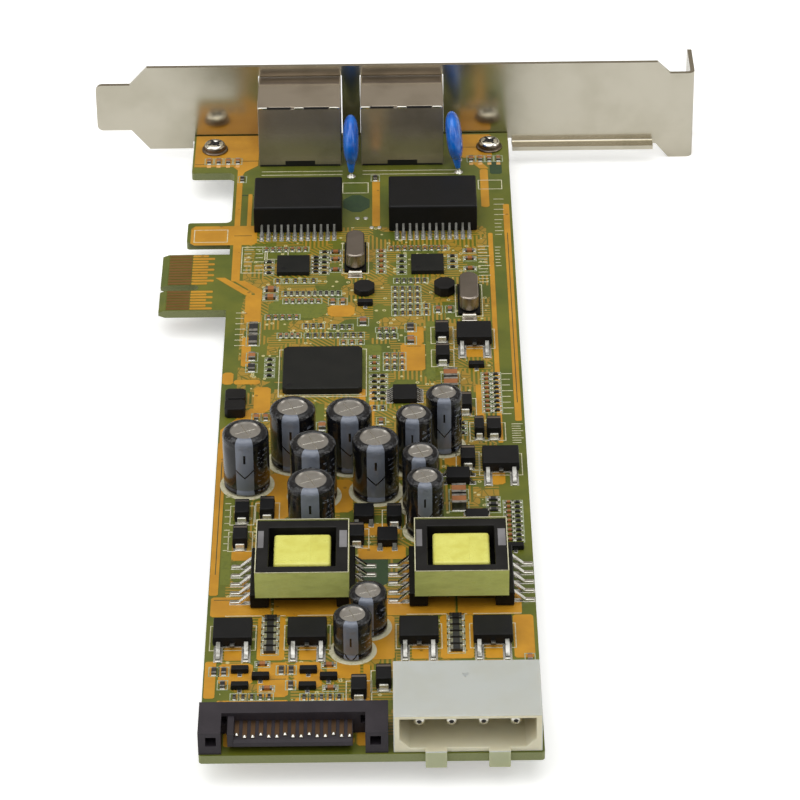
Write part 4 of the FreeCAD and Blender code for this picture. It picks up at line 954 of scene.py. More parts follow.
# ---- printed circuit ----------------------------------------------------------------------------
@dataclass(frozen=True)
class Patch:
    """A flat patch on the board, in card millimetres; chips off its corners when corner is set."""

    x: float
    y: float
    width: float
    depth: float
    corner: float = 0.0

    @classmethod
    def around(cls, low: Vector, high: Vector, gap: float) -> "Patch":
        """A patch that leaves a gap all round a box."""
        return cls(low.x - gap, low.y - gap, high.x - low.x + 2 * gap, high.y - low.y + 2 * gap)

    def outline(self) -> Profile:
        """Corners of the patch, counter-clockwise.

        Returns:
            Four corners, or eight when they are chipped.
        """
        x0, x1 = self.x, self.x + self.width
        y0, y1 = self.y, self.y + self.depth
        c = self.corner
        if c <= 0:
            return [(x0, y0), (x1, y0), (x1, y1), (x0, y1)]
        return [(x0 + c, y0), (x1 - c, y0), (x1, y0 + c), (x1, y1 - c), (x1 - c, y1), (x0 + c, y1),
                (x0, y1 - c), (x0, y0 + c)]


# Copper under resin; each patch row is x, y, width, depth and, where it is chipped, corner.
FILLS = [Patch(*row) for row in (
    (28.6, -36.5, 1.1, 20.2, 0.2), (31.0, -36.5, 0.8, 12.5, 0.2), (20.3, -43.5, 12.8, 7.2, 0.8),
    (28.6, -57.0, 1.6, 13.8, 0.3), (55.3, -37.0, 1.5, 18.0, 0.3), (73.0, -10.4, 6.2, 9.6, 0.5),
    (76.6, -30.0, 1.6, 15.0, 0.4), (77.6, -113.0, 0.9, 73.0, 0.2), (80.8, -106.0, 1.2, 77.0, 0.2),
    (31.5, -72.0, 3.0, 10.0, 0.5), (31.3, -87.0, 1.7, 10.0, 0.4), (28.1, -93.0, 2.0, 4.0, 0.5),
    (30.2, -93.0, 4.8, 1.5, 0.4), (47.0, -70.0, 5.0, 4.0, 0.8), (60.5, -89.0, 4.5, 9.2, 0.5),
    (61.8, -79.8, 3.0, 5.8, 0.5), (72.5, -84.6, 3.6, 3.6, 0.3), (34.0, -102.0, 3.0, 8.0, 0.6),
    (53.0, -107.0, 1.1, 12.0, 0.2), (54.8, -107.0, 0.9, 12.0, 0.2), (74.0, -105.0, 1.3, 11.0, 0.3),
    (28.1, -158.0, 1.5, 46.0, 0.3), (37.0, -136.0, 4.0, 14.0, 1.0), (48.0, -134.0, 4.0, 10.0, 0.8),
    (31.5, -148.0, 3.5, 3.0, 0.6), (52.0, -141.0, 8.0, 3.5, 0.6), (53.0, -148.0, 8.0, 4.0, 0.6),
    (68.0, -120.0, 3.0, 3.0, 0.8), (76.0, -126.0, 2.5, 4.0, 0.5), (28.5, -164.0, 10.0, 5.5, 0.4),
    (39.0, -164.0, 30.0, 5.5, 0.4), (69.5, -164.0, 10.6, 5.5, 0.4), (36.5, -176.0, 4.5, 11.8, 0.4),
    (55.0, -176.0, 4.0, 11.8, 0.4), (66.5, -176.0, 5.4, 11.8, 0.4), (78.5, -176.0, 3.4, 11.8, 0.4),
    (31.2, -176.0, 3.0, 3.5, 0.3), (43.4, -176.0, 3.0, 3.5, 0.3), (61.8, -176.0, 3.2, 3.5, 0.3),
    (73.8, -176.0, 3.0, 3.5, 0.3), (28.2, -186.0, 1.8, 9.8, 0.3), (31.8, -198.5, 1.7, 3.5, 0.3),
    (53.0, -198.5, 2.0, 3.5, 0.3), (68.8, -157.6, 9.0, 7.4, 0.5), (30.4, -182.4, 5.6, 5.6, 0.6),
    (36.8, -185.8, 5.0, 9.2, 0.6), (42.6, -183.4, 4.6, 6.8, 0.6), (48.0, -181.0, 5.4, 4.4, 0.6),
    (30.4, -187.6, 11.4, 1.0, 0.2), (43.0, -187.6, 12.0, 1.4, 0.2), (53.9, -186.0, 1.1, 8.6, 0.2),
    (40.0, -157.9, 12.6, 3.2, 0.5), (60.4, -157.9, 6.6, 9.0, 0.5), (33.6, -157.9, 4.0, 3.0, 0.4),
)]
# Fills with slanted sides, corner by corner.
SLANTED = [
    [(19.9, -0.4), (19.9, -13.0), (27.6, -13.0), (28.6, -14.4), (28.6, -16.3), (29.7, -16.3), (30.0, -15.2),
     (32.6, -12.6), (32.6, -0.4)],
    [(29.2, -56.8), (31.2, -56.8), (34.6, -60.4), (34.6, -63.4), (33.4, -63.4), (33.2, -61.4)],
    [(25.6, -55.6), (27.4, -55.6), (32.6, -61.2), (32.6, -63.0), (31.0, -61.6)],
    [(74.6, -11.4), (76.6, -11.4), (78.4, -14.8), (76.6, -14.8)],
    [(28.3, -108.0), (33.5, -101.0), (37.0, -101.0), (30.0, -112.0), (28.3, -112.0)],
]
# Bare resin.
PLAIN = [Patch(*row) for row in (
    (35.9, -70.4, 10.9, 6.6, 1.6), (65.2, -92.0, 1.6, 20.0, 0.3), (53.5, -88.0, 3.5, 8.0, 0.6),
    (29.8, -155.0, 1.7, 27.0, 0.2), (33.0, -118.0, 1.2, 8.0, 0.2), (54.2, -107.0, 0.5, 12.0, 0.1),
)]
# Dark resin.
SHADED = [Patch(*row) for row in (
    (49.6, -31.4, 5.2, 6.6, 1.8), (53.0, -156.0, 5.0, 10.0, 1.2), (38.2, -158.2, 8.4, 9.0, 1.2),
    (78.6, -17.0, 2.4, 5.0, 0.4), (19.9, -11.0, 12.7, 0.35), (28.6, -24.6, 3.4, 0.4),
)]
# Clearance grooves: x, upper y, width, depth.
GROOVES = [(28.4, -10.7, 4.2, 0.16), (20.0, -11.9, 4.0, 0.14), (73.2, -6.0, 3.0, 0.14), (28.7, -40.0, 3.4, 0.14),
           (29.0, -159.2, 9.4, 0.16), (39.2, -159.2, 12.0, 0.16), (69.6, -159.2, 10.2, 0.16), (55.0, -159.2, 9.0, 0.16),
           (28.9, -118.0, 0.14, 34.0), (81.3, -40.0, 0.14, 60.0), (61.6, -80.6, 2.6, 0.14), (37.4, -181.0, 4.0, 0.14)]
# Printed frames.
LEGEND_FRAMES = [Patch(*row) for row in (
    (21.0, -42.4, 6.4, 4.6), (49.5, -24.0, 5.0, 4.0), (76.2, -23.0, 4.6, 3.5),
    (30.4, -54.0, 4.4, 9.6), (35.2, -49.0, 4.0, 3.6),
)]
# Printed bars: x, y, width.
LEGEND_BARS = [
    (33.4, -15.2, 16.0), (53.4, -15.2, 19.0), (33.4, -16.6, 16.0), (53.4, -16.6, 19.0), (39.4, -96.8, 14.0),
    (31.0, -163.8, 10.0), (43.0, -163.8, 10.0), (61.0, -163.8, 10.0), (72.0, -163.8, 8.0),
    (79.0, -27.0, 2.0), (79.0, -29.0, 2.0), (79.0, -31.0, 2.0), (79.0, -33.0, 2.0),
]
# Printed rows of ticks: x, first y, count, pitch, length.
LEGEND_TICKS = [(75.5, -45.0, 12, 1.2, 1.8), (78.8, -45.4, 7, 1.15, 0.9), (78.4, -90.4, 8, 1.9, 1.8),
                (80.1, -107.0, 9, 0.75, 1.6), (29.9, -68.4, 7, 1.9, 1.5), (30.0, -129.0, 9, 2.0, 1.0),
                (79.0, -35.0, 5, 1.4, 1.3), (30.8, -45.4, 6, 1.5, 1.4), (33.0, -45.4, 6, 1.5, 1.4)]
# Node, gap round each of its solids, legend finish.
PART_FRAMES = [("bridge_chip", 0.75, 0), ("crystal_1", 0.75, 0), ("crystal_2", 0.75, 0), ("power_transistors", 0.5, 0),
               ("diode_bodies", 0.75, 0), ("chip_resistors", 0.42, 1), ("chip_capacitors", 0.42, 1)]
# Node, what its pads reach past each lead.
LEAD_PADS = [("magnetics_1_leads", 0.15), ("magnetics_2_leads", 0.15), ("transistor_leads", 0.35),
             ("small_chip_leads", 0.15), ("diode_leads", 0.35), ("transformer_1_leads", 0.12),
             ("transformer_2_leads", 0.12), ("power_plug_contacts", 0.2)]
# Tinned test dots: first x, y, count, pitch, radius.
TEST_DOTS = [(52.4, -33.8, 2, 1.6, 0.5), (55.2, -37.4, 2, 1.5, 0.45)]


@dataclass
class PrintedCircuit:
    """The board with its copper fills, pads, legends and edge contacts."""

    plan: Plan
    pour_rise: float = 0.015
    stagger: float = 0.002
    groove_rise: float = 0.05
    spare_pads_from: float = -14.8
    spare_pad_near: float = 0.7
    spare_pad_far: float = 1.6
    ink_rise: float = 0.055
    pad_rise: float = 0.06
    line: float = 0.17
    long_tick: float = 1.25
    disc_gap: float = 0.75
    track_reach: float = 4.8
    track_step: float = 0.6

    def build(self) -> None:
        """Dress the board and lay everything printed on it."""
        dress("circuit_board", Look.BOARD)
        dress("edge_contacts", Look.GOLD)
        self.fills()
        self.legend()
        self.pads()

    def fills(self) -> None:
        """Copper fills as flat plates, bare and dark areas, clearance grooves and spare pads."""
        form = Form(self.plan)
        groups = ((1, PLAIN), (2, SHADED), (0, FILLS))  # the order sets the heights
        layers = [(patch.outline(), look) for look, patches in groups for patch in patches]
        layers += [(outline, 0) for outline in SLANTED]
        layers += [(patch.outline(), 0) for patch in self.finger_tracks()]
        for i, (outline, look) in enumerate(layers):
            form.plate(outline, 0, self.pour_rise + self.stagger * (i % 7 + (0 if look else 7)), look)
        for x, y, width, depth in GROOVES:
            form.block((x, y - depth, 0), (x + width, y, self.groove_rise), look=2)
        for node in ("chip_resistors", "chip_capacitors"):
            for low, high in self.plan.solids(node):
                if low.y > self.spare_pads_from:
                    form.block((low.x, low.y - self.spare_pad_far, 0),
                               (high.x, low.y - self.spare_pad_near, self.groove_rise), look=3)
        form.piece("copper_fills", [Look.POUR, Look.RESIN_BARE, Look.RESIN_DARK, Look.PALE_PAD], "board_laminate")

    def finger_tracks(self) -> list[Patch]:
        """Tracks that leave the upper edge contacts towards the board.

        Returns:
            One patch for each upper contact, longer and shorter by turns.
        """
        tracks = []
        for i, (low, high) in enumerate(self.plan.solids("edge_contacts")):
            on_upper_face = high.z > -0.2
            if on_upper_face:
                reach = self.track_reach - self.track_step * (i % 4)
                tracks.append(Patch(high.x + 0.1, low.y, reach, high.y - low.y, 0.15))
        return tracks

    def frame(self, form: Form, patch: Patch, look: int = 0) -> None:
        """Add a legend frame along a patch's rim.

        Args:
            form: where the frame goes.
            patch: what it runs round.
            look: index of the material.
        """
        x0, x1, y0, y1 = patch.x, patch.x + patch.width, patch.y, patch.y + patch.depth
        half = self.line / 2
        for y in (y0, y1):
            form.block((x0 - half, y - half, 0), (x1 + half, y + half, self.ink_rise), look=look)
        for x in (x0, x1):
            form.block((x - half, y0 + half, 0), (x + half, y1 - half, self.ink_rise), look=look)

    def legend(self) -> None:
        """Legend: outlines round parts, rows of ticks and discs under the cans."""
        form = Form(self.plan)
        for patch in LEGEND_FRAMES:
            self.frame(form, patch)
        for x, y, width in LEGEND_BARS:
            form.block((x, y - self.line / 2, 0), (x + width, y + self.line / 2, self.ink_rise))
        for x, first, count, pitch, length in LEGEND_TICKS:
            for i in range(count):
                y = first - i * pitch
                reach = length if i % 3 else length * self.long_tick
                form.block((x, y - self.line / 2, 0), (x + reach, y + self.line / 2, self.ink_rise))
        for number in range(1, 13):
            low, high = self.plan.box(f"capacitor_{number}")
            radius = (high.x - low.x) / 2 + self.disc_gap
            form.lathe([(0, 0), (radius, 0), (radius, self.ink_rise), (0, self.ink_rise)], middle_of(low, high))
        for node, gap, look in PART_FRAMES:
            for low, high in self.plan.solids(node):
                self.frame(form, Patch.around(low, high, gap), look)
        form.piece("board_legend", [Look.INK, Look.FAINT_INK], "board_laminate")

    def pads(self) -> None:
        """Tinned pads under leads, and loose test dots."""
        form = Form(self.plan)
        for node, grow in LEAD_PADS:
            for low, high in self.plan.solids(node):
                if low.z <= STANDS_CLEAR:
                    form.block((low.x - grow, low.y - grow, 0), (high.x + grow, high.y + grow, self.pad_rise), 0.03)
        for x, y, count, pitch, size in TEST_DOTS:
            for i in range(count):
                spot = Vector((x + i * pitch, y, 0))
                form.rod(spot, spot + Vector((0, 0, 0.1)), size, size * 0.8, 14)
        form.piece("tinned_pads", [Look.SOLDER], "solder")


# ---- bracket ------------------------------------------------------------------------------------
@dataclass
class BracketAssembly:
    """Slot bracket with its two screws."""

    plan: Plan
    shank: float = 1.45
    thread_pitch: float = 0.5
    thread_depth: float = 0.28
    recess_reach: float = 1.6
    cross_turn: float = 0.6
    skirt: float = 0.42

    def build(self) -> None:
        """Soften the bracket and turn the screws."""
        self.plan.softened("slot_bracket", "bracket_plate", Look.BRACKET, "bracket_steel", 0.1, 2, 40.0)
        self.screws()

    def crown(self, head: float, rise: float) -> Profile:
        """Outline of a pan head with its recess and the skirt under it, coloured as painted shade.

        Args:
            head: the head's radius with the skirt.
            rise: the head's height.

        Returns:
            Radius and height of each point.
        """
        crown = head - self.skirt
        points = [(0, rise - 0.8), (0.5, rise - 0.75), (0.75, rise - 0.2), (0.95, rise - 0.03)]
        for turn in arc(6):
            points.append((crown - 0.7 * (1 - math.sin(turn)), rise * (0.98 - 0.5 * (1 - math.cos(turn)))))
        return points + [(crown, 0.5), (head - 0.1, 0.42), (head, 0.3), (head, 0.14), (0, 0.14)]

    def thread(self, bottom: float) -> Profile:
        """Outline of the threaded shank.

        Args:
            bottom: height of its tip.

        Returns:
            Radius and height of each point.
        """
        points = [(0, 0.1), (self.shank, 0.1)]
        level = -0.1
        while level > bottom + 0.5:
            points += [(self.shank, level), (self.shank - self.thread_depth, level - self.thread_pitch / 2)]
            level -= self.thread_pitch
        return points + [(self.shank * 0.7, bottom), (0, bottom)]

    def screws(self) -> None:
        """Pan heads with cross recesses holding painted shade, skirts in painted shade, and threaded shanks."""
        form = Form(self.plan)
        for low, high in self.plan.solids("bracket_screws"):
            centre = middle_of(low, high)
            head, rise = (high.x - low.x) / 2, high.z
            crown_edge = head - self.skirt - 0.1

            def finish(from_axis: float, _: float) -> int:
                """Bright crown inside its edge, and painted shade on the skirt outside."""
                return 2 if from_axis > crown_edge else 0

            form.lathe(self.crown(head, rise), centre, 40, bands=finish)
            form.lathe(self.thread(low.z), centre, 24)
            # Near-black blocks in the cross recess: painted shade.
            for i in range(4):
                turn = Matrix.Translation(centre) @ Matrix.Rotation(FULL_TURN * i / 4 + self.cross_turn, 4, "Z")
                form.block((0.15, -0.3, rise - 0.72), (self.recess_reach, 0.3, rise - 0.015), 0.05, 1, 1, turn)
        form.piece("bracket_screw_pair", [Look.BRIGHT, Look.PAINTED_SHADE_FILL, Look.SHIELD_PAINTED_SHADE], "screw_steel", ["bracket_screws"])


# ---- ports --------------------------------------------------------------------------------------
@dataclass
class Port:
    """One shielded modular port."""

    plan: Plan
    number: int
    seam_rise: float = 0.06
    seam_proud: float = 0.05
    slot_reach: float = 2.4
    shade_strip_depth: float = 3.1

    @property
    def tag(self) -> str:
        """What the names of the port's nodes start with."""
        return f"port_{self.number}"

    def build(self) -> None:
        """Dress the port's three nodes and add its folded seams, painted highlights and painted shade."""
        self.plan.softened(f"{self.tag}_shield", f"{self.tag}_shell", Look.SHIELD, "shield_tin", 0.16, 2, 40.0)
        self.plan.softened(f"{self.tag}_housing", f"{self.tag}_insert", Look.PORT, "port_plastic", 0.12, 1, 40.0)
        dress(f"{self.tag}_contacts", Look.SPRING_GOLD)
        self.folds_and_painted_light()

    def folds_and_painted_light(self) -> None:
        """Folded tongues along the rear top edge, slots and a notch filled with painted shade, a painted shadow along
        the rear foot, the front strip in painted shade, and bright side rims as painted highlights.
        """
        low, high = self.plan.box(f"{self.tag}_shield")
        form = Form(self.plan)
        width, rear, top = high.x - low.x, low.y, high.z
        for share, half in ((0.055, 1.05), (0.5, 0.95), (0.925, 0.95)):
            middle = low.x + width * share
            form.block((max(low.x + 0.03, middle - half), rear - self.seam_proud, top - 0.42),
                       (min(high.x - 0.03, middle + half), rear + 0.35, top + self.seam_rise), 0.14, 0, 3)
        # Slots filled with near-black: painted shade.
        for share in (0.25, 0.71):
            middle = low.x + width * share
            form.block((middle - self.slot_reach, rear - 0.02, top - 0.34),
                       (middle + self.slot_reach, rear + 0.3, top + 0.012), 0.0, 1)
        # Raised front strip in the darker shield copy: painted shade.
        form.block((low.x + 0.25, -self.shade_strip_depth, top - 0.05), (high.x - 0.25, -0.25, top + 0.12), 0.08, 2, 2)
        # Bright tin rims along the top side edges: painted highlights.
        for x in (low.x, high.x):
            form.block((x - 0.06, rear + 0.4, top - 0.3), (x + 0.06, -0.3, top + 0.1), 0.05, 0, 2)
        # Near-black notch, and a near-black line along the rear foot: painted shade in the notch, painted shadow at the
        # foot.
        form.block((low.x + width * 0.32, rear - 0.03, 0.02), (low.x + width * 0.68, rear + 0.3, 1.25), 0.0, 1)
        form.block((low.x + 0.2, rear - 0.02, 0.02), (high.x - 0.2, rear + 0.3, 0.42), 0.0, 1)
        form.piece(f"{self.tag}_folds", [Look.BRIGHT, Look.PAINTED_SHADE_FILL, Look.SHIELD_PAINTED_SHADE], "shield_tin")


# ---- capacitors ---------------------------------------------------------------------------------
@dataclass
class DiscCapacitor:
    """Blue dipped disc standing on two wires."""

    plan: Plan
    number: int
    lean: float = 0.0
    lift: float = 1.9
    thick: float = 1.55
    lead_reach: float = 2.5

    def rim(self, radius: float, steps: int = 14) -> Profile:
        """Outline of the dipped disc, flat in the middle and round at its rim.

        Args:
            radius: the disc's radius.
            steps: parts of the outline.

        Returns:
            Radius and height of each point.
        """
        points = []
        for i in range(steps + 1):
            turn = math.pi * i / steps - math.pi / 2
            spread = abs(math.cos(turn))
            points.append((radius * spread ** 0.62 if spread > 1e-6 else 0.0, self.thick * math.sin(turn)))
        return points

    def build(self) -> None:
        """Turn the disc, draw its coating down the wires and solder the feet."""
        node = f"disc_capacitor_{self.number}"
        low, high = self.plan.box(node)
        form = Form(self.plan)
        radius = (high.z - self.lift) / 2
        base = middle_of(low, high)
        if self.lean:
            base.x = high.x - self.thick
        tilt = Matrix.Translation(base) @ Matrix.Rotation(math.radians(self.lean), 4, "Y")
        up = Matrix.Translation((0, 0, self.lift + radius)) @ Matrix.Rotation(math.pi / 2, 4, "Y")
        form.lathe(self.rim(radius), (0, 0, 0), matrix=tilt @ up)
        for side in (-1, 1):
            foot = Vector((0, side * self.lead_reach, 0))
            hip = tilt @ (foot * 0.95 + Vector((0, 0, self.lift + radius * 0.42)))
            knee = tilt @ (foot + Vector((0, 0, self.lift * 0.55)))
            ankle = base + foot + Vector((0, 0, 0.5))
            form.rod(knee, hip, 0.5, 1.0, 16, 0.1, 0)
            form.wire([base + foot + Vector((0, 0, -1.2)), ankle, knee], 0.28, 10, 1)
            form.lathe([(0, 0.04), (0.85, 0.04), (0.6, 0.16), (0.36, 0.5), (0.28, 0.75), (0, 0.75)], base + foot, 20, 2)
        form.piece(f"blue_disc_{self.number}", [Look.BLUE, Look.BRIGHT, Look.SOLDER], "blue_coating", [node])


@dataclass
class CanCapacitor:
    """Aluminium can in a printed sleeve."""

    plan: Plan
    number: int
    turn: float = 0.0
    seal: float = 0.35
    bead_level: float = 1.35
    bead_depth: float = 0.14
    bead_half: float = 0.35
    shoulder_share: float = 0.27
    top_share: float = 0.66
    recess: float = 0.35
    score_turn: float = 0.45
    wide_lead: float = 1.75
    narrow_lead: float = 1.25

    def outline(self, radius: float, height: float) -> Profile:
        """Outline of the sleeved can: seal, bead, wall, shoulder and sunk top.

        Args:
            radius: the can's radius.
            height: its height.

        Returns:
            Radius and height of each point.
        """
        half = self.bead_half
        points = [(0, 0.5), (radius - 0.5, 0.5), (radius - 0.45, self.seal), (radius - 0.12, self.seal),
                  (radius, self.seal + 0.12), (radius, self.bead_level - half)]
        for i in range(1, 6):
            part = i / 6
            points.append((radius - self.bead_depth * math.sin(math.pi * part),
                           self.bead_level - half + 2 * half * part))
        points.append((radius, self.bead_level + half))
        shoulder, inner = radius * self.shoulder_share, radius * self.top_share
        for turn in arc(8):
            points.append((radius - shoulder * (1 - math.cos(turn)), height - shoulder * 0.85 * (1 - math.sin(turn))))
        return points + [(inner + 0.14, height - 0.02), (inner, height - 0.14), (inner, height - self.recess),
                         (0, height - self.recess)]

    def build(self) -> None:
        """Turn the can, score its top and add its wires."""
        node = f"capacitor_{self.number}"
        low, high = self.plan.box(node)
        radius, height = (high.x - low.x) / 2, high.z
        inner, floor = radius * self.top_share, height - self.recess
        centre = middle_of(low, high)
        form = Form(self.plan)

        def band(from_axis: float, level: float) -> int:
            """Material index by place.

            Args:
                from_axis: distance from the can's axis.
                level: height over the board.

            Returns:
                0 for the sleeve, 1 for the metal top, 2 for the seal.
            """
            if from_axis < inner + 0.01 and level > height / 2:
                return 1
            return 2 if level < self.seal + 0.2 and from_axis < radius - 0.2 else 0

        form.lathe(self.outline(radius, height), centre, 56, 0, Matrix.Rotation(self.turn, 4, "Z"), band)
        # Vent scores on the top, drawn in brighter tin: real scores with a painted glint.
        for angle in (self.score_turn, self.score_turn + math.pi / 2):
            score = Matrix.Translation(centre) @ Matrix.Rotation(angle + self.turn, 4, "Z")
            form.block((-inner * 0.75, -0.1, floor - 0.02), (inner * 0.75, 0.1, floor + 0.05), 0.04, 3, 1, score)
        reach = self.wide_lead if radius > 3.5 else self.narrow_lead
        for x in (centre.x - reach, centre.x + reach):
            form.rod((x, centre.y, -1.4), (x, centre.y, 0.6), 0.3, sides=10, look=3)
        form.piece(f"can_{self.number}", [Look.SLEEVE, Look.CAN_TOP, Look.RUBBER, Look.BRIGHT], "sleeve_black", [node])


# ---- transformers -------------------------------------------------------------------------------
@dataclass
class Transformer:
    """One coil former with its raised ferrite frame, winding and bands."""

    plan: Plan
    number: int
    glint_start: float = 0.2
    glint_end: float = 0.52
    rim: float = 0.08

    @property
    def tag(self) -> str:
        """What the names of the transformer's nodes start with."""
        return f"transformer_{self.number}"

    def build(self) -> None:
        """Dress the five nodes and add the tape's free end, a pale rim along the tape's upper edge as painted
        highlight, and painted glints on the frame.
        """
        for node, name, look, slot, bevel, segments in (("core", "frame", Look.FERRITE, "ferrite", 0.16, 2),
                                                        ("bobbin", "former", Look.FORMER, "bobbin", 0.15, 1),
                                                        ("leads", "pins", Look.BRIGHT, "lead_tin", 0.1, 2)):
            self.plan.softened(f"{self.tag}_{node}", f"{self.tag}_{name}", look, slot, bevel, segments, 40.0)
        self.band()
        self.winding()
        self.painted_glints()

    def painted_glints(self) -> None:
        """Painted glints: pale grey patches on the frame's two side legs."""
        low, high = self.plan.box(f"{self.tag}_core")
        near, far = (high.y - (high.y - low.y) * share for share in (self.glint_end, self.glint_start))
        form = Form(self.plan)
        # Pale patches on each side leg: painted glints.
        for x0, x1 in ((low.x + 0.2, low.x + 1.2), (high.x - 1.5, high.x - 0.2)):
            form.block((x0, near, high.z - 0.05), (x1, far, high.z + 0.008), 0.02)
        form.piece(f"{self.tag}_ground_faces", [Look.FERRITE_PAINTED_GLINT], "ferrite")

    def band(self) -> None:
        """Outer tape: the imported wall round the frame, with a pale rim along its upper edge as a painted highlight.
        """
        low, high = self.plan.box(f"{self.tag}_band")
        form = Form(self.plan)
        form.load(f"{self.tag}_band")
        rim = self.rim
        # Pale rim in cream ink along the upper edge: painted highlight.
        for x in (low.x, high.x - rim * 2):
            form.block((x, low.y + 0.02, high.z - rim), (x + rim * 2, high.y - 0.02, high.z + 0.02), 0.03, 1)
        for y in (low.y, high.y - rim * 2):
            form.block((low.x + 0.02, y, high.z - rim), (high.x - 0.02, y + rim * 2, high.z + 0.02), 0.03, 1)
        form.piece(f"{self.tag}_tape_band", [Look.BAND, Look.INK], "band_tape", [f"{self.tag}_band"])

    def winding(self) -> None:
        """Tape-wrapped winding: a pillow of layers with a free end."""
        low, high = self.plan.box(f"{self.tag}_winding")
        form = Form(self.plan)
        form.block(low, high, 0.55, segments=4)
        form.block((low.x + 0.5, low.y + 1.0, high.z - 0.03), (high.x - 3.4, high.y - 0.9, high.z + 0.035), 0.03)
        form.piece(f"{self.tag}_tape_winding", [Look.WINDING], "winding_tape", [f"{self.tag}_winding"])


# ---- chips, transistors and diodes --------------------------------------------------------------
@dataclass
class Packages:
    """Moulded packages and their tinned leads."""

    plan: Plan
    dimple_inset: float = 1.3
    fillet_reach: float = 0.45

    def build(self) -> None:
        """Soften every package and dress its leads."""
        for number in (1, 2):
            self.plan.softened(f"magnetics_{number}_body", f"magnetics_{number}_shell", Look.MAGNETICS,
                               "mould_black", 0.22, 2, 20.0)
            self.plan.softened(f"magnetics_{number}_leads", f"magnetics_{number}_pins", Look.LEG, "lead_tin",
                               0.06, 1, 30.0)
            self.chip(f"controller_{number}", f"controller_chip_{number}", 0.08)
            self.crystal(number)
        self.chip("bridge_chip", "bridge_package", 0.1)
        dress("crystal_bases", Look.FORMER)
        self.plan.softened("small_chips", "small_packages", Look.RESIN, "chip_black", 0.06, 1, 20.0)
        dress("small_chip_leads", Look.LEG)
        self.plan.softened("power_transistors", "power_packages", Look.RESIN, "mould_black", 0.12, 2, 20.0)
        self.plan.softened("transistor_leads", "power_package_legs", Look.LEG, "lead_tin", 0.08, 1, 30.0)
        self.plan.softened("power_inductors", "inductor_blocks", Look.FERRITE, "inductor_body", 0.18, 2, 30.0)
        self.diodes()
        self.fillets()

    def chip(self, node: str, name: str, bevel: float) -> None:
        """Soften a chip and mark its first corner with a dimple.

        Args:
            node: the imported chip.
            name: the new piece's name.
            bevel: width of its softened edges.
        """
        low, high = self.plan.box(node)
        self.plan.softened(node, name, Look.CHIP, "chip_black", bevel, 2, 30.0)
        form = Form(self.plan)
        spot = (low.x + self.dimple_inset, low.y + self.dimple_inset, high.z)
        form.lathe([(0, 0.004), (0.36, 0.004), (0.42, 0.016), (0.46, 0.016), (0.5, 0.0), (0, 0.0)], spot, 24)
        form.piece(f"{name}_dimple", [Look.RESIN], "chip_black")

    def crystal(self, number: int) -> None:
        """Drawn can with a rolled rim and bright end terminals.

        Args:
            number: which crystal.
        """
        node = f"crystal_{number}"
        self.plan.softened(node, f"crystal_can_{number}", Look.CRYSTAL, "crystal_can", 0.35, 3, 50.0)
        low, high = self.plan.box(node)
        middle = (low.x + high.x) / 2
        form = Form(self.plan)
        for side, y in ((-1, low.y), (1, high.y)):
            for half, start, end, rise, bevel in ((1.3, 0.0, 0.9, 0.5, 0.12), (1.4, 1.0, 2.4, 0.16, 0.05)):
                near, far = sorted((y + side * start, y + side * end))
                form.block((middle - half, near, 0.02), (middle + half, far, rise), bevel)
        form.piece(f"crystal_terminals_{number}", [Look.BRIGHT], "lead_tin")

    def diodes(self) -> None:
        """Diode bodies with a cathode bar, and their wrapped terminals."""
        self.plan.softened("diode_bodies", "diode_packages", Look.RESIN, "mould_black", 0.1, 1, 20.0)
        self.plan.softened("diode_leads", "diode_terminals", Look.SOLDER, "lead_tin", 0.1, 1, 30.0)
        form = Form(self.plan)
        for low, high in self.plan.solids("diode_bodies"):
            if high.y - low.y > high.x - low.x:
                x0, x1, y0, y1 = low.x + 0.15, high.x - 0.15, high.y - 1.0, high.y - 0.5
            else:
                x0, x1, y0, y1 = low.x + 0.5, low.x + 1.0, low.y + 0.15, high.y - 0.15
            form.block((x0, y0, high.z - 0.05), (x1, y1, high.z + 0.012))
        form.piece("cathode_bars", [Look.CRYSTAL], "mould_black")

    def fillets(self) -> None:
        """Solder that climbs the ends of the surface leads."""
        form = Form(self.plan)
        for node in ("diode_leads", "transistor_leads"):
            for low, high in self.plan.solids(node):
                if low.z <= STANDS_CLEAR:
                    form.block((low.x - 0.1, low.y - self.fillet_reach, 0.0), (high.x + 0.1, low.y + 0.3, 0.3),
                               0.12, 0, 2)
        form.piece("lead_fillets", [Look.SOLDER], "solder")


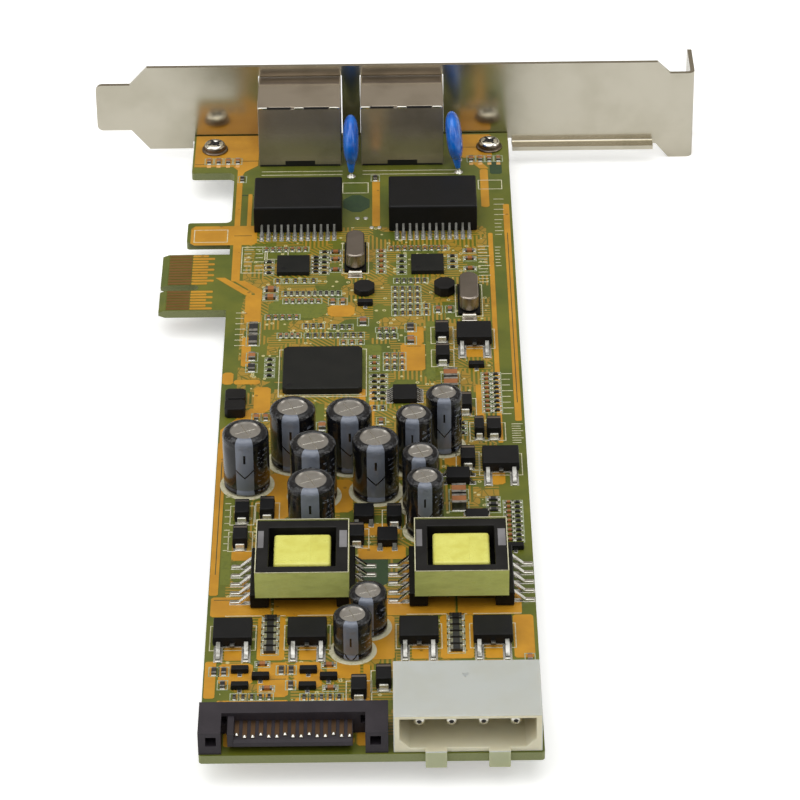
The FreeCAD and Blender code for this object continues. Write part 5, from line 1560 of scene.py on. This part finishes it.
@dataclass
class ChipParts:
    """Chip resistors and capacitors: body, wrapped end caps and fillets on pads."""

    plan: Plan
    end_share: float = 0.24
    least_cap: float = 0.22
    inset: float = 0.02
    pad_reach: float = 0.32
    pad_rise: float = 0.14

    def build(self) -> None:
        """Build both groups."""
        self.group("chip_resistors", "resistor_chips", Look.RESISTOR, "resistor")
        self.group("chip_capacitors", "capacitor_chips", Look.CERAMIC, "ceramic")

    def group(self, node: str, name: str, look: Look, slot: str) -> None:
        """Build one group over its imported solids.

        Args:
            node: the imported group.
            name: the new piece's name.
            look: finish of the bodies.
            slot: its material slot.
        """
        form = Form(self.plan)
        for low, high in self.plan.solids(node):
            along = 0 if high.x - low.x > high.y - low.y else 1
            near, far = low[along], high[along]
            cap = max(self.least_cap, (far - near) * self.end_share)
            body_low = low + Vector((self.inset, self.inset, 2 * self.inset))
            body_high = high - Vector((self.inset, self.inset, self.inset))
            body_low[along], body_high[along] = near + cap * 0.8, far - cap * 0.8
            form.block(body_low, body_high)
            ends = ((near, near + cap, near - self.pad_reach, near + cap * 0.6),
                    (far - cap, far, far - cap * 0.6, far + self.pad_reach))
            for cap_start, cap_end, pad_start, pad_end in ends:
                for start, end, floor, top, bevel, finish in ((cap_start, cap_end, low.z, high.z, 0.05, 1),
                                                              (pad_start, pad_end, 0.0, self.pad_rise, 0.1, 2)):
                    first, last = Vector((low.x, low.y, floor)), Vector((high.x, high.y, top))
                    first[along], last[along] = start, end
                    form.block(first, last, bevel, finish)
        form.piece(name, [look, Look.LEG, Look.SOLDER], slot, [node])


# ---- connectors ---------------------------------------------------------------------------------
@dataclass
class PowerPlug:
    """Keyed drive-style power plug."""

    plan: Plan

    def build(self) -> None:
        """Soften the plug, colour its contacts and round their tips."""
        self.plan.softened("power_plug", "power_plug_shell", Look.PLUG, "plug_plastic", 0.14, 2, 40.0)
        dress("power_plug_contacts", Look.PLUG_BLADE)
        form = Form(self.plan)
        for low, high in self.plan.solids("power_plug_contacts"):
            middle = (low.x + high.x) / 2
            if low.z > STANDS_CLEAR:
                form.rod((middle, low.y - 0.05, high.z - 0.05), (middle, low.y + 0.45, high.z + 0.06), 0.3, 0.34, 12,
                         0.08)
        form.piece("plug_contact_tips", [Look.BRIGHT], "plug_contacts")


@dataclass
class PowerHeader:
    """White nylon header with four round pins."""

    plan: Plan
    mark: float = 0.55
    wall: float = 0.5
    tip: float = 0.9
    tip_inset: float = 0.62
    bore: float = 2.5

    def build(self) -> None:
        """Soften the shell, roll the pins and raise the pin-one mark."""
        shell = self.plan.softened("power_header", "power_header_shell", Look.NYLON, "nylon", 0.22, 3, 40.0)
        low, high = self.plan.box("power_header")
        self.paint_glow_and_shade(shell, low, high)
        self.pins()
        form = Form(self.plan)
        middle, y = (low.x + high.x) / 2 - 0.2, high.y - 3.4
        form.plate([(middle - self.mark, y), (middle, y - 1.1), (middle + self.mark, y)], high.z - 0.05, high.z + 0.05)
        form.piece("header_mark", [Look.NYLON], "nylon")

    def paint_glow_and_shade(self, shell: bpy.types.Object, low: Vector, high: Vector) -> None:
        """Give the cavity a brighter, warmer copy of the nylon as painted light, and the pegs under the board a darker,
        yellower copy as painted shade.

        Args:
            shell: the softened header.
            low: the header's lowest corner.
            high: its highest corner.
        """
        shell.data.materials.append(Look.NYLON_PAINTED_GLOW.material())
        shell.data.materials.append(Look.NYLON_PAINTED_SHADE.material())
        back = self.plan.to_frame.inverted()
        for face in shell.data.polygons:
            spot = back @ face.center
            if spot.z < -0.05:
                face.material_index = 2
            elif (low.x + self.wall < spot.x < high.x - self.wall and low.y + 0.3 < spot.y < high.y - self.wall
                  and 0.3 < spot.z < high.z - self.wall):
                face.material_index = 1

    def pins(self) -> None:
        """Round pins: tubes with a rounded tip, and a near-black rod in the bore as painted shade."""
        form = Form(self.plan)
        lay = Matrix.Rotation(-math.pi / 2, 4, "X")
        for low, high in self.plan.solids("power_header_pins"):
            radius, length = (high.x - low.x) / 2, high.y - low.y
            centre = Vector(((low.x + high.x) / 2, low.y, (low.z + high.z) / 2))
            profile = [(0, length), (radius, length)]
            for turn in arc(5):
                profile.append((radius - self.tip_inset * (1 - math.cos(turn)), self.tip * (1 - math.sin(turn))))
            profile += [(radius * 0.32, 0.1), (radius * 0.3, self.bore), (0, self.bore)]
            form.lathe(profile, centre, 28, matrix=lay)
            # Near-black rod filling the bore: painted shade.
            form.rod(centre + Vector((0, 0.12, 0)), centre + Vector((0, self.bore - 0.1, 0)), radius * 0.31, sides=16,
                     look=1)
        form.piece("header_pin_set", [Look.BRIGHT, Look.PAINTED_SHADE_FILL], "pins", ["power_header_pins"])


@dataclass
class Underside:
    """Solder cones and wire ends under the board."""

    plan: Plan

    def build(self) -> None:
        """Turn one cone for every joint."""
        form = Form(self.plan)
        for low, high in self.plan.solids("solder_joints"):
            form.lathe([(0, 0), (1.05, 0), (1.05, -0.04), (0.85, -0.08), (0.6, -0.3), (0.42, -0.7), (0.34, -1.05),
                        (0.3, -1.3), (0, -1.34)], middle_of(low, high, high.z), 20)
        form.piece("solder_cones", [Look.SOLDER], "solder", ["solder_joints"])


# ---- studio -------------------------------------------------------------------------------------
@dataclass
class Studio:
    """Camera, pale floor, soft lamps and surroundings."""

    sensor: float = 36.0
    lens: float = 169.15
    pitch: float = 0.57508
    yaw: float = -0.00103
    roll: float = -0.01187
    place: tuple[float, float, float] = (0.000473, -0.57034, 0.37439)
    shift: tuple[float, float] = (0.0029, -0.0060)
    floor_size: float = 8.0

    def build(self) -> None:
        """Set up everything round the card."""
        self.camera()
        self.floor()
        self.lamps()
        self.surroundings()
        bpy.context.scene.view_settings.view_transform = "Standard"

    def camera(self) -> None:
        """Camera looking down along the card towards its bracket."""
        data = bpy.data.cameras.new("camera")
        data.sensor_width = self.sensor
        data.lens = self.lens
        data.shift_x, data.shift_y = self.shift
        data.clip_start, data.clip_end = 0.05, 30.0
        made = bpy.data.objects.new("camera", data)
        level = Vector((math.cos(self.yaw), -math.sin(self.yaw), 0))
        ahead = Vector((math.sin(self.yaw) * math.cos(self.pitch), math.cos(self.yaw) * math.cos(self.pitch),
                        -math.sin(self.pitch)))
        above = level.cross(ahead)
        right = math.cos(self.roll) * level + math.sin(self.roll) * above
        top = -math.sin(self.roll) * level + math.cos(self.roll) * above
        turn = Matrix((right, top, -ahead)).transposed().to_4x4()
        made.matrix_world = Matrix.Translation(self.place) @ turn
        bpy.context.scene.collection.objects.link(made)
        bpy.context.scene.camera = made

    def floor(self) -> None:
        """Plain white floor that keeps soft shadows."""
        mesh = bpy.data.meshes.new("floor")
        part = bmesh.new()
        bmesh.ops.create_grid(part, x_segments=1, y_segments=1, size=self.floor_size / 2)
        part.to_mesh(mesh)
        part.free()
        made = bpy.data.objects.new("floor", mesh)
        bpy.context.scene.collection.objects.link(made)
        material = bpy.data.materials.new("floor_white")
        tree = ShaderTree(material)
        seen = tree.node("ShaderNodeLightPath", output="Is Camera Ray")
        diffuse = tree.node("ShaderNodeBsdfDiffuse", None, {"Color": (0.88, 0.88, 0.87, 1.0)})
        glow = tree.node("ShaderNodeEmission", None, {"Color": (1, 1, 1, 1), "Strength": seen * 0.4})
        both = tree.node("ShaderNodeAddShader", None, [diffuse, glow])
        tree.node("ShaderNodeOutputMaterial", None, [both])
        mesh.materials.append(material)

    def lamp(self, name: str, place: Point, size: tuple[float, float], power: float) -> None:
        """Add one rectangular softbox that looks at the card.

        Args:
            name: the lamp's name.
            place: where it hangs, in metres.
            size: its width and height in metres.
            power: its power in watts.
        """
        data = bpy.data.lights.new(name, "AREA")
        data.shape = "RECTANGLE"
        data.size, data.size_y = size
        data.energy = power
        made = bpy.data.objects.new(name, data)
        made.location = place
        aim = Vector((0, 0, 0.01)) - Vector(place)
        made.rotation_euler = aim.to_track_quat("-Z", "Y").to_euler()
        bpy.context.scene.collection.objects.link(made)

    def lamps(self) -> None:
        """Key above the front, a fill at each side and one overhead."""
        self.lamp("key", (-0.25, -0.45, 1.15), (1.9, 1.4), 9.0)
        self.lamp("left", (-1.1, -0.2, 0.55), (0.5, 0.9), 3.0)
        self.lamp("right", (1.1, -0.25, 0.6), (0.5, 0.9), 3.2)
        self.lamp("crown", (0.0, 0.25, 1.3), (1.3, 0.8), 4.0)

    def surroundings(self) -> None:
        """White to the camera, a plain grey room to the light."""
        world = bpy.data.worlds.new("studio")
        bpy.context.scene.world = world
        tree = ShaderTree(world)
        _, _, rise = tree.split(tree.node("ShaderNodeTexCoord", output="Generated"))
        seen = tree.node("ShaderNodeLightPath", output="Is Camera Ray")
        glossy = tree.node("ShaderNodeLightPath", output="Is Glossy Ray")
        through = tree.node("ShaderNodeLightPath", output="Is Transmission Ray")
        room = tree.mix(rise.ramp(0.05, 0.3), (0.95, 0.95, 0.94), (0.3, 0.27, 0.23))
        room = tree.mix(rise.ramp(0.62, 0.9), room, (0.9, 0.9, 0.88))
        fill = tree.mix((glossy + through).clamped(), (0.36, 0.36, 0.35), room)
        colour = tree.mix(seen, fill, (1.0, 1.0, 1.0))
        back = tree.node("ShaderNodeBackground", None, {"Color": colour, "Strength": 1.0})
        tree.node("ShaderNodeOutputWorld", None, [back])


def main() -> None:
    """Build the studio and every dressed part."""
    logging.basicConfig(level=logging.INFO, format="%(message)s")
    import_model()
    random.seed(SEED)
    Studio().build()
    plan = Plan()
    PrintedCircuit(plan).build()
    BracketAssembly(plan).build()
    for number in (1, 2):
        Port(plan, number).build()
        DiscCapacitor(plan, number, DISC_LEANS[number]).build()
        Transformer(plan, number).build()
    dress("port_lights", Look.LENS)
    for number in range(1, 13):
        CanCapacitor(plan, number, random.uniform(-CAN_TURN, CAN_TURN)).build()
    Packages(plan).build()
    ChipParts(plan).build()
    PowerPlug(plan).build()
    PowerHeader(plan).build()
    Underside(plan).build()


if __name__ == "__main__":
    main()
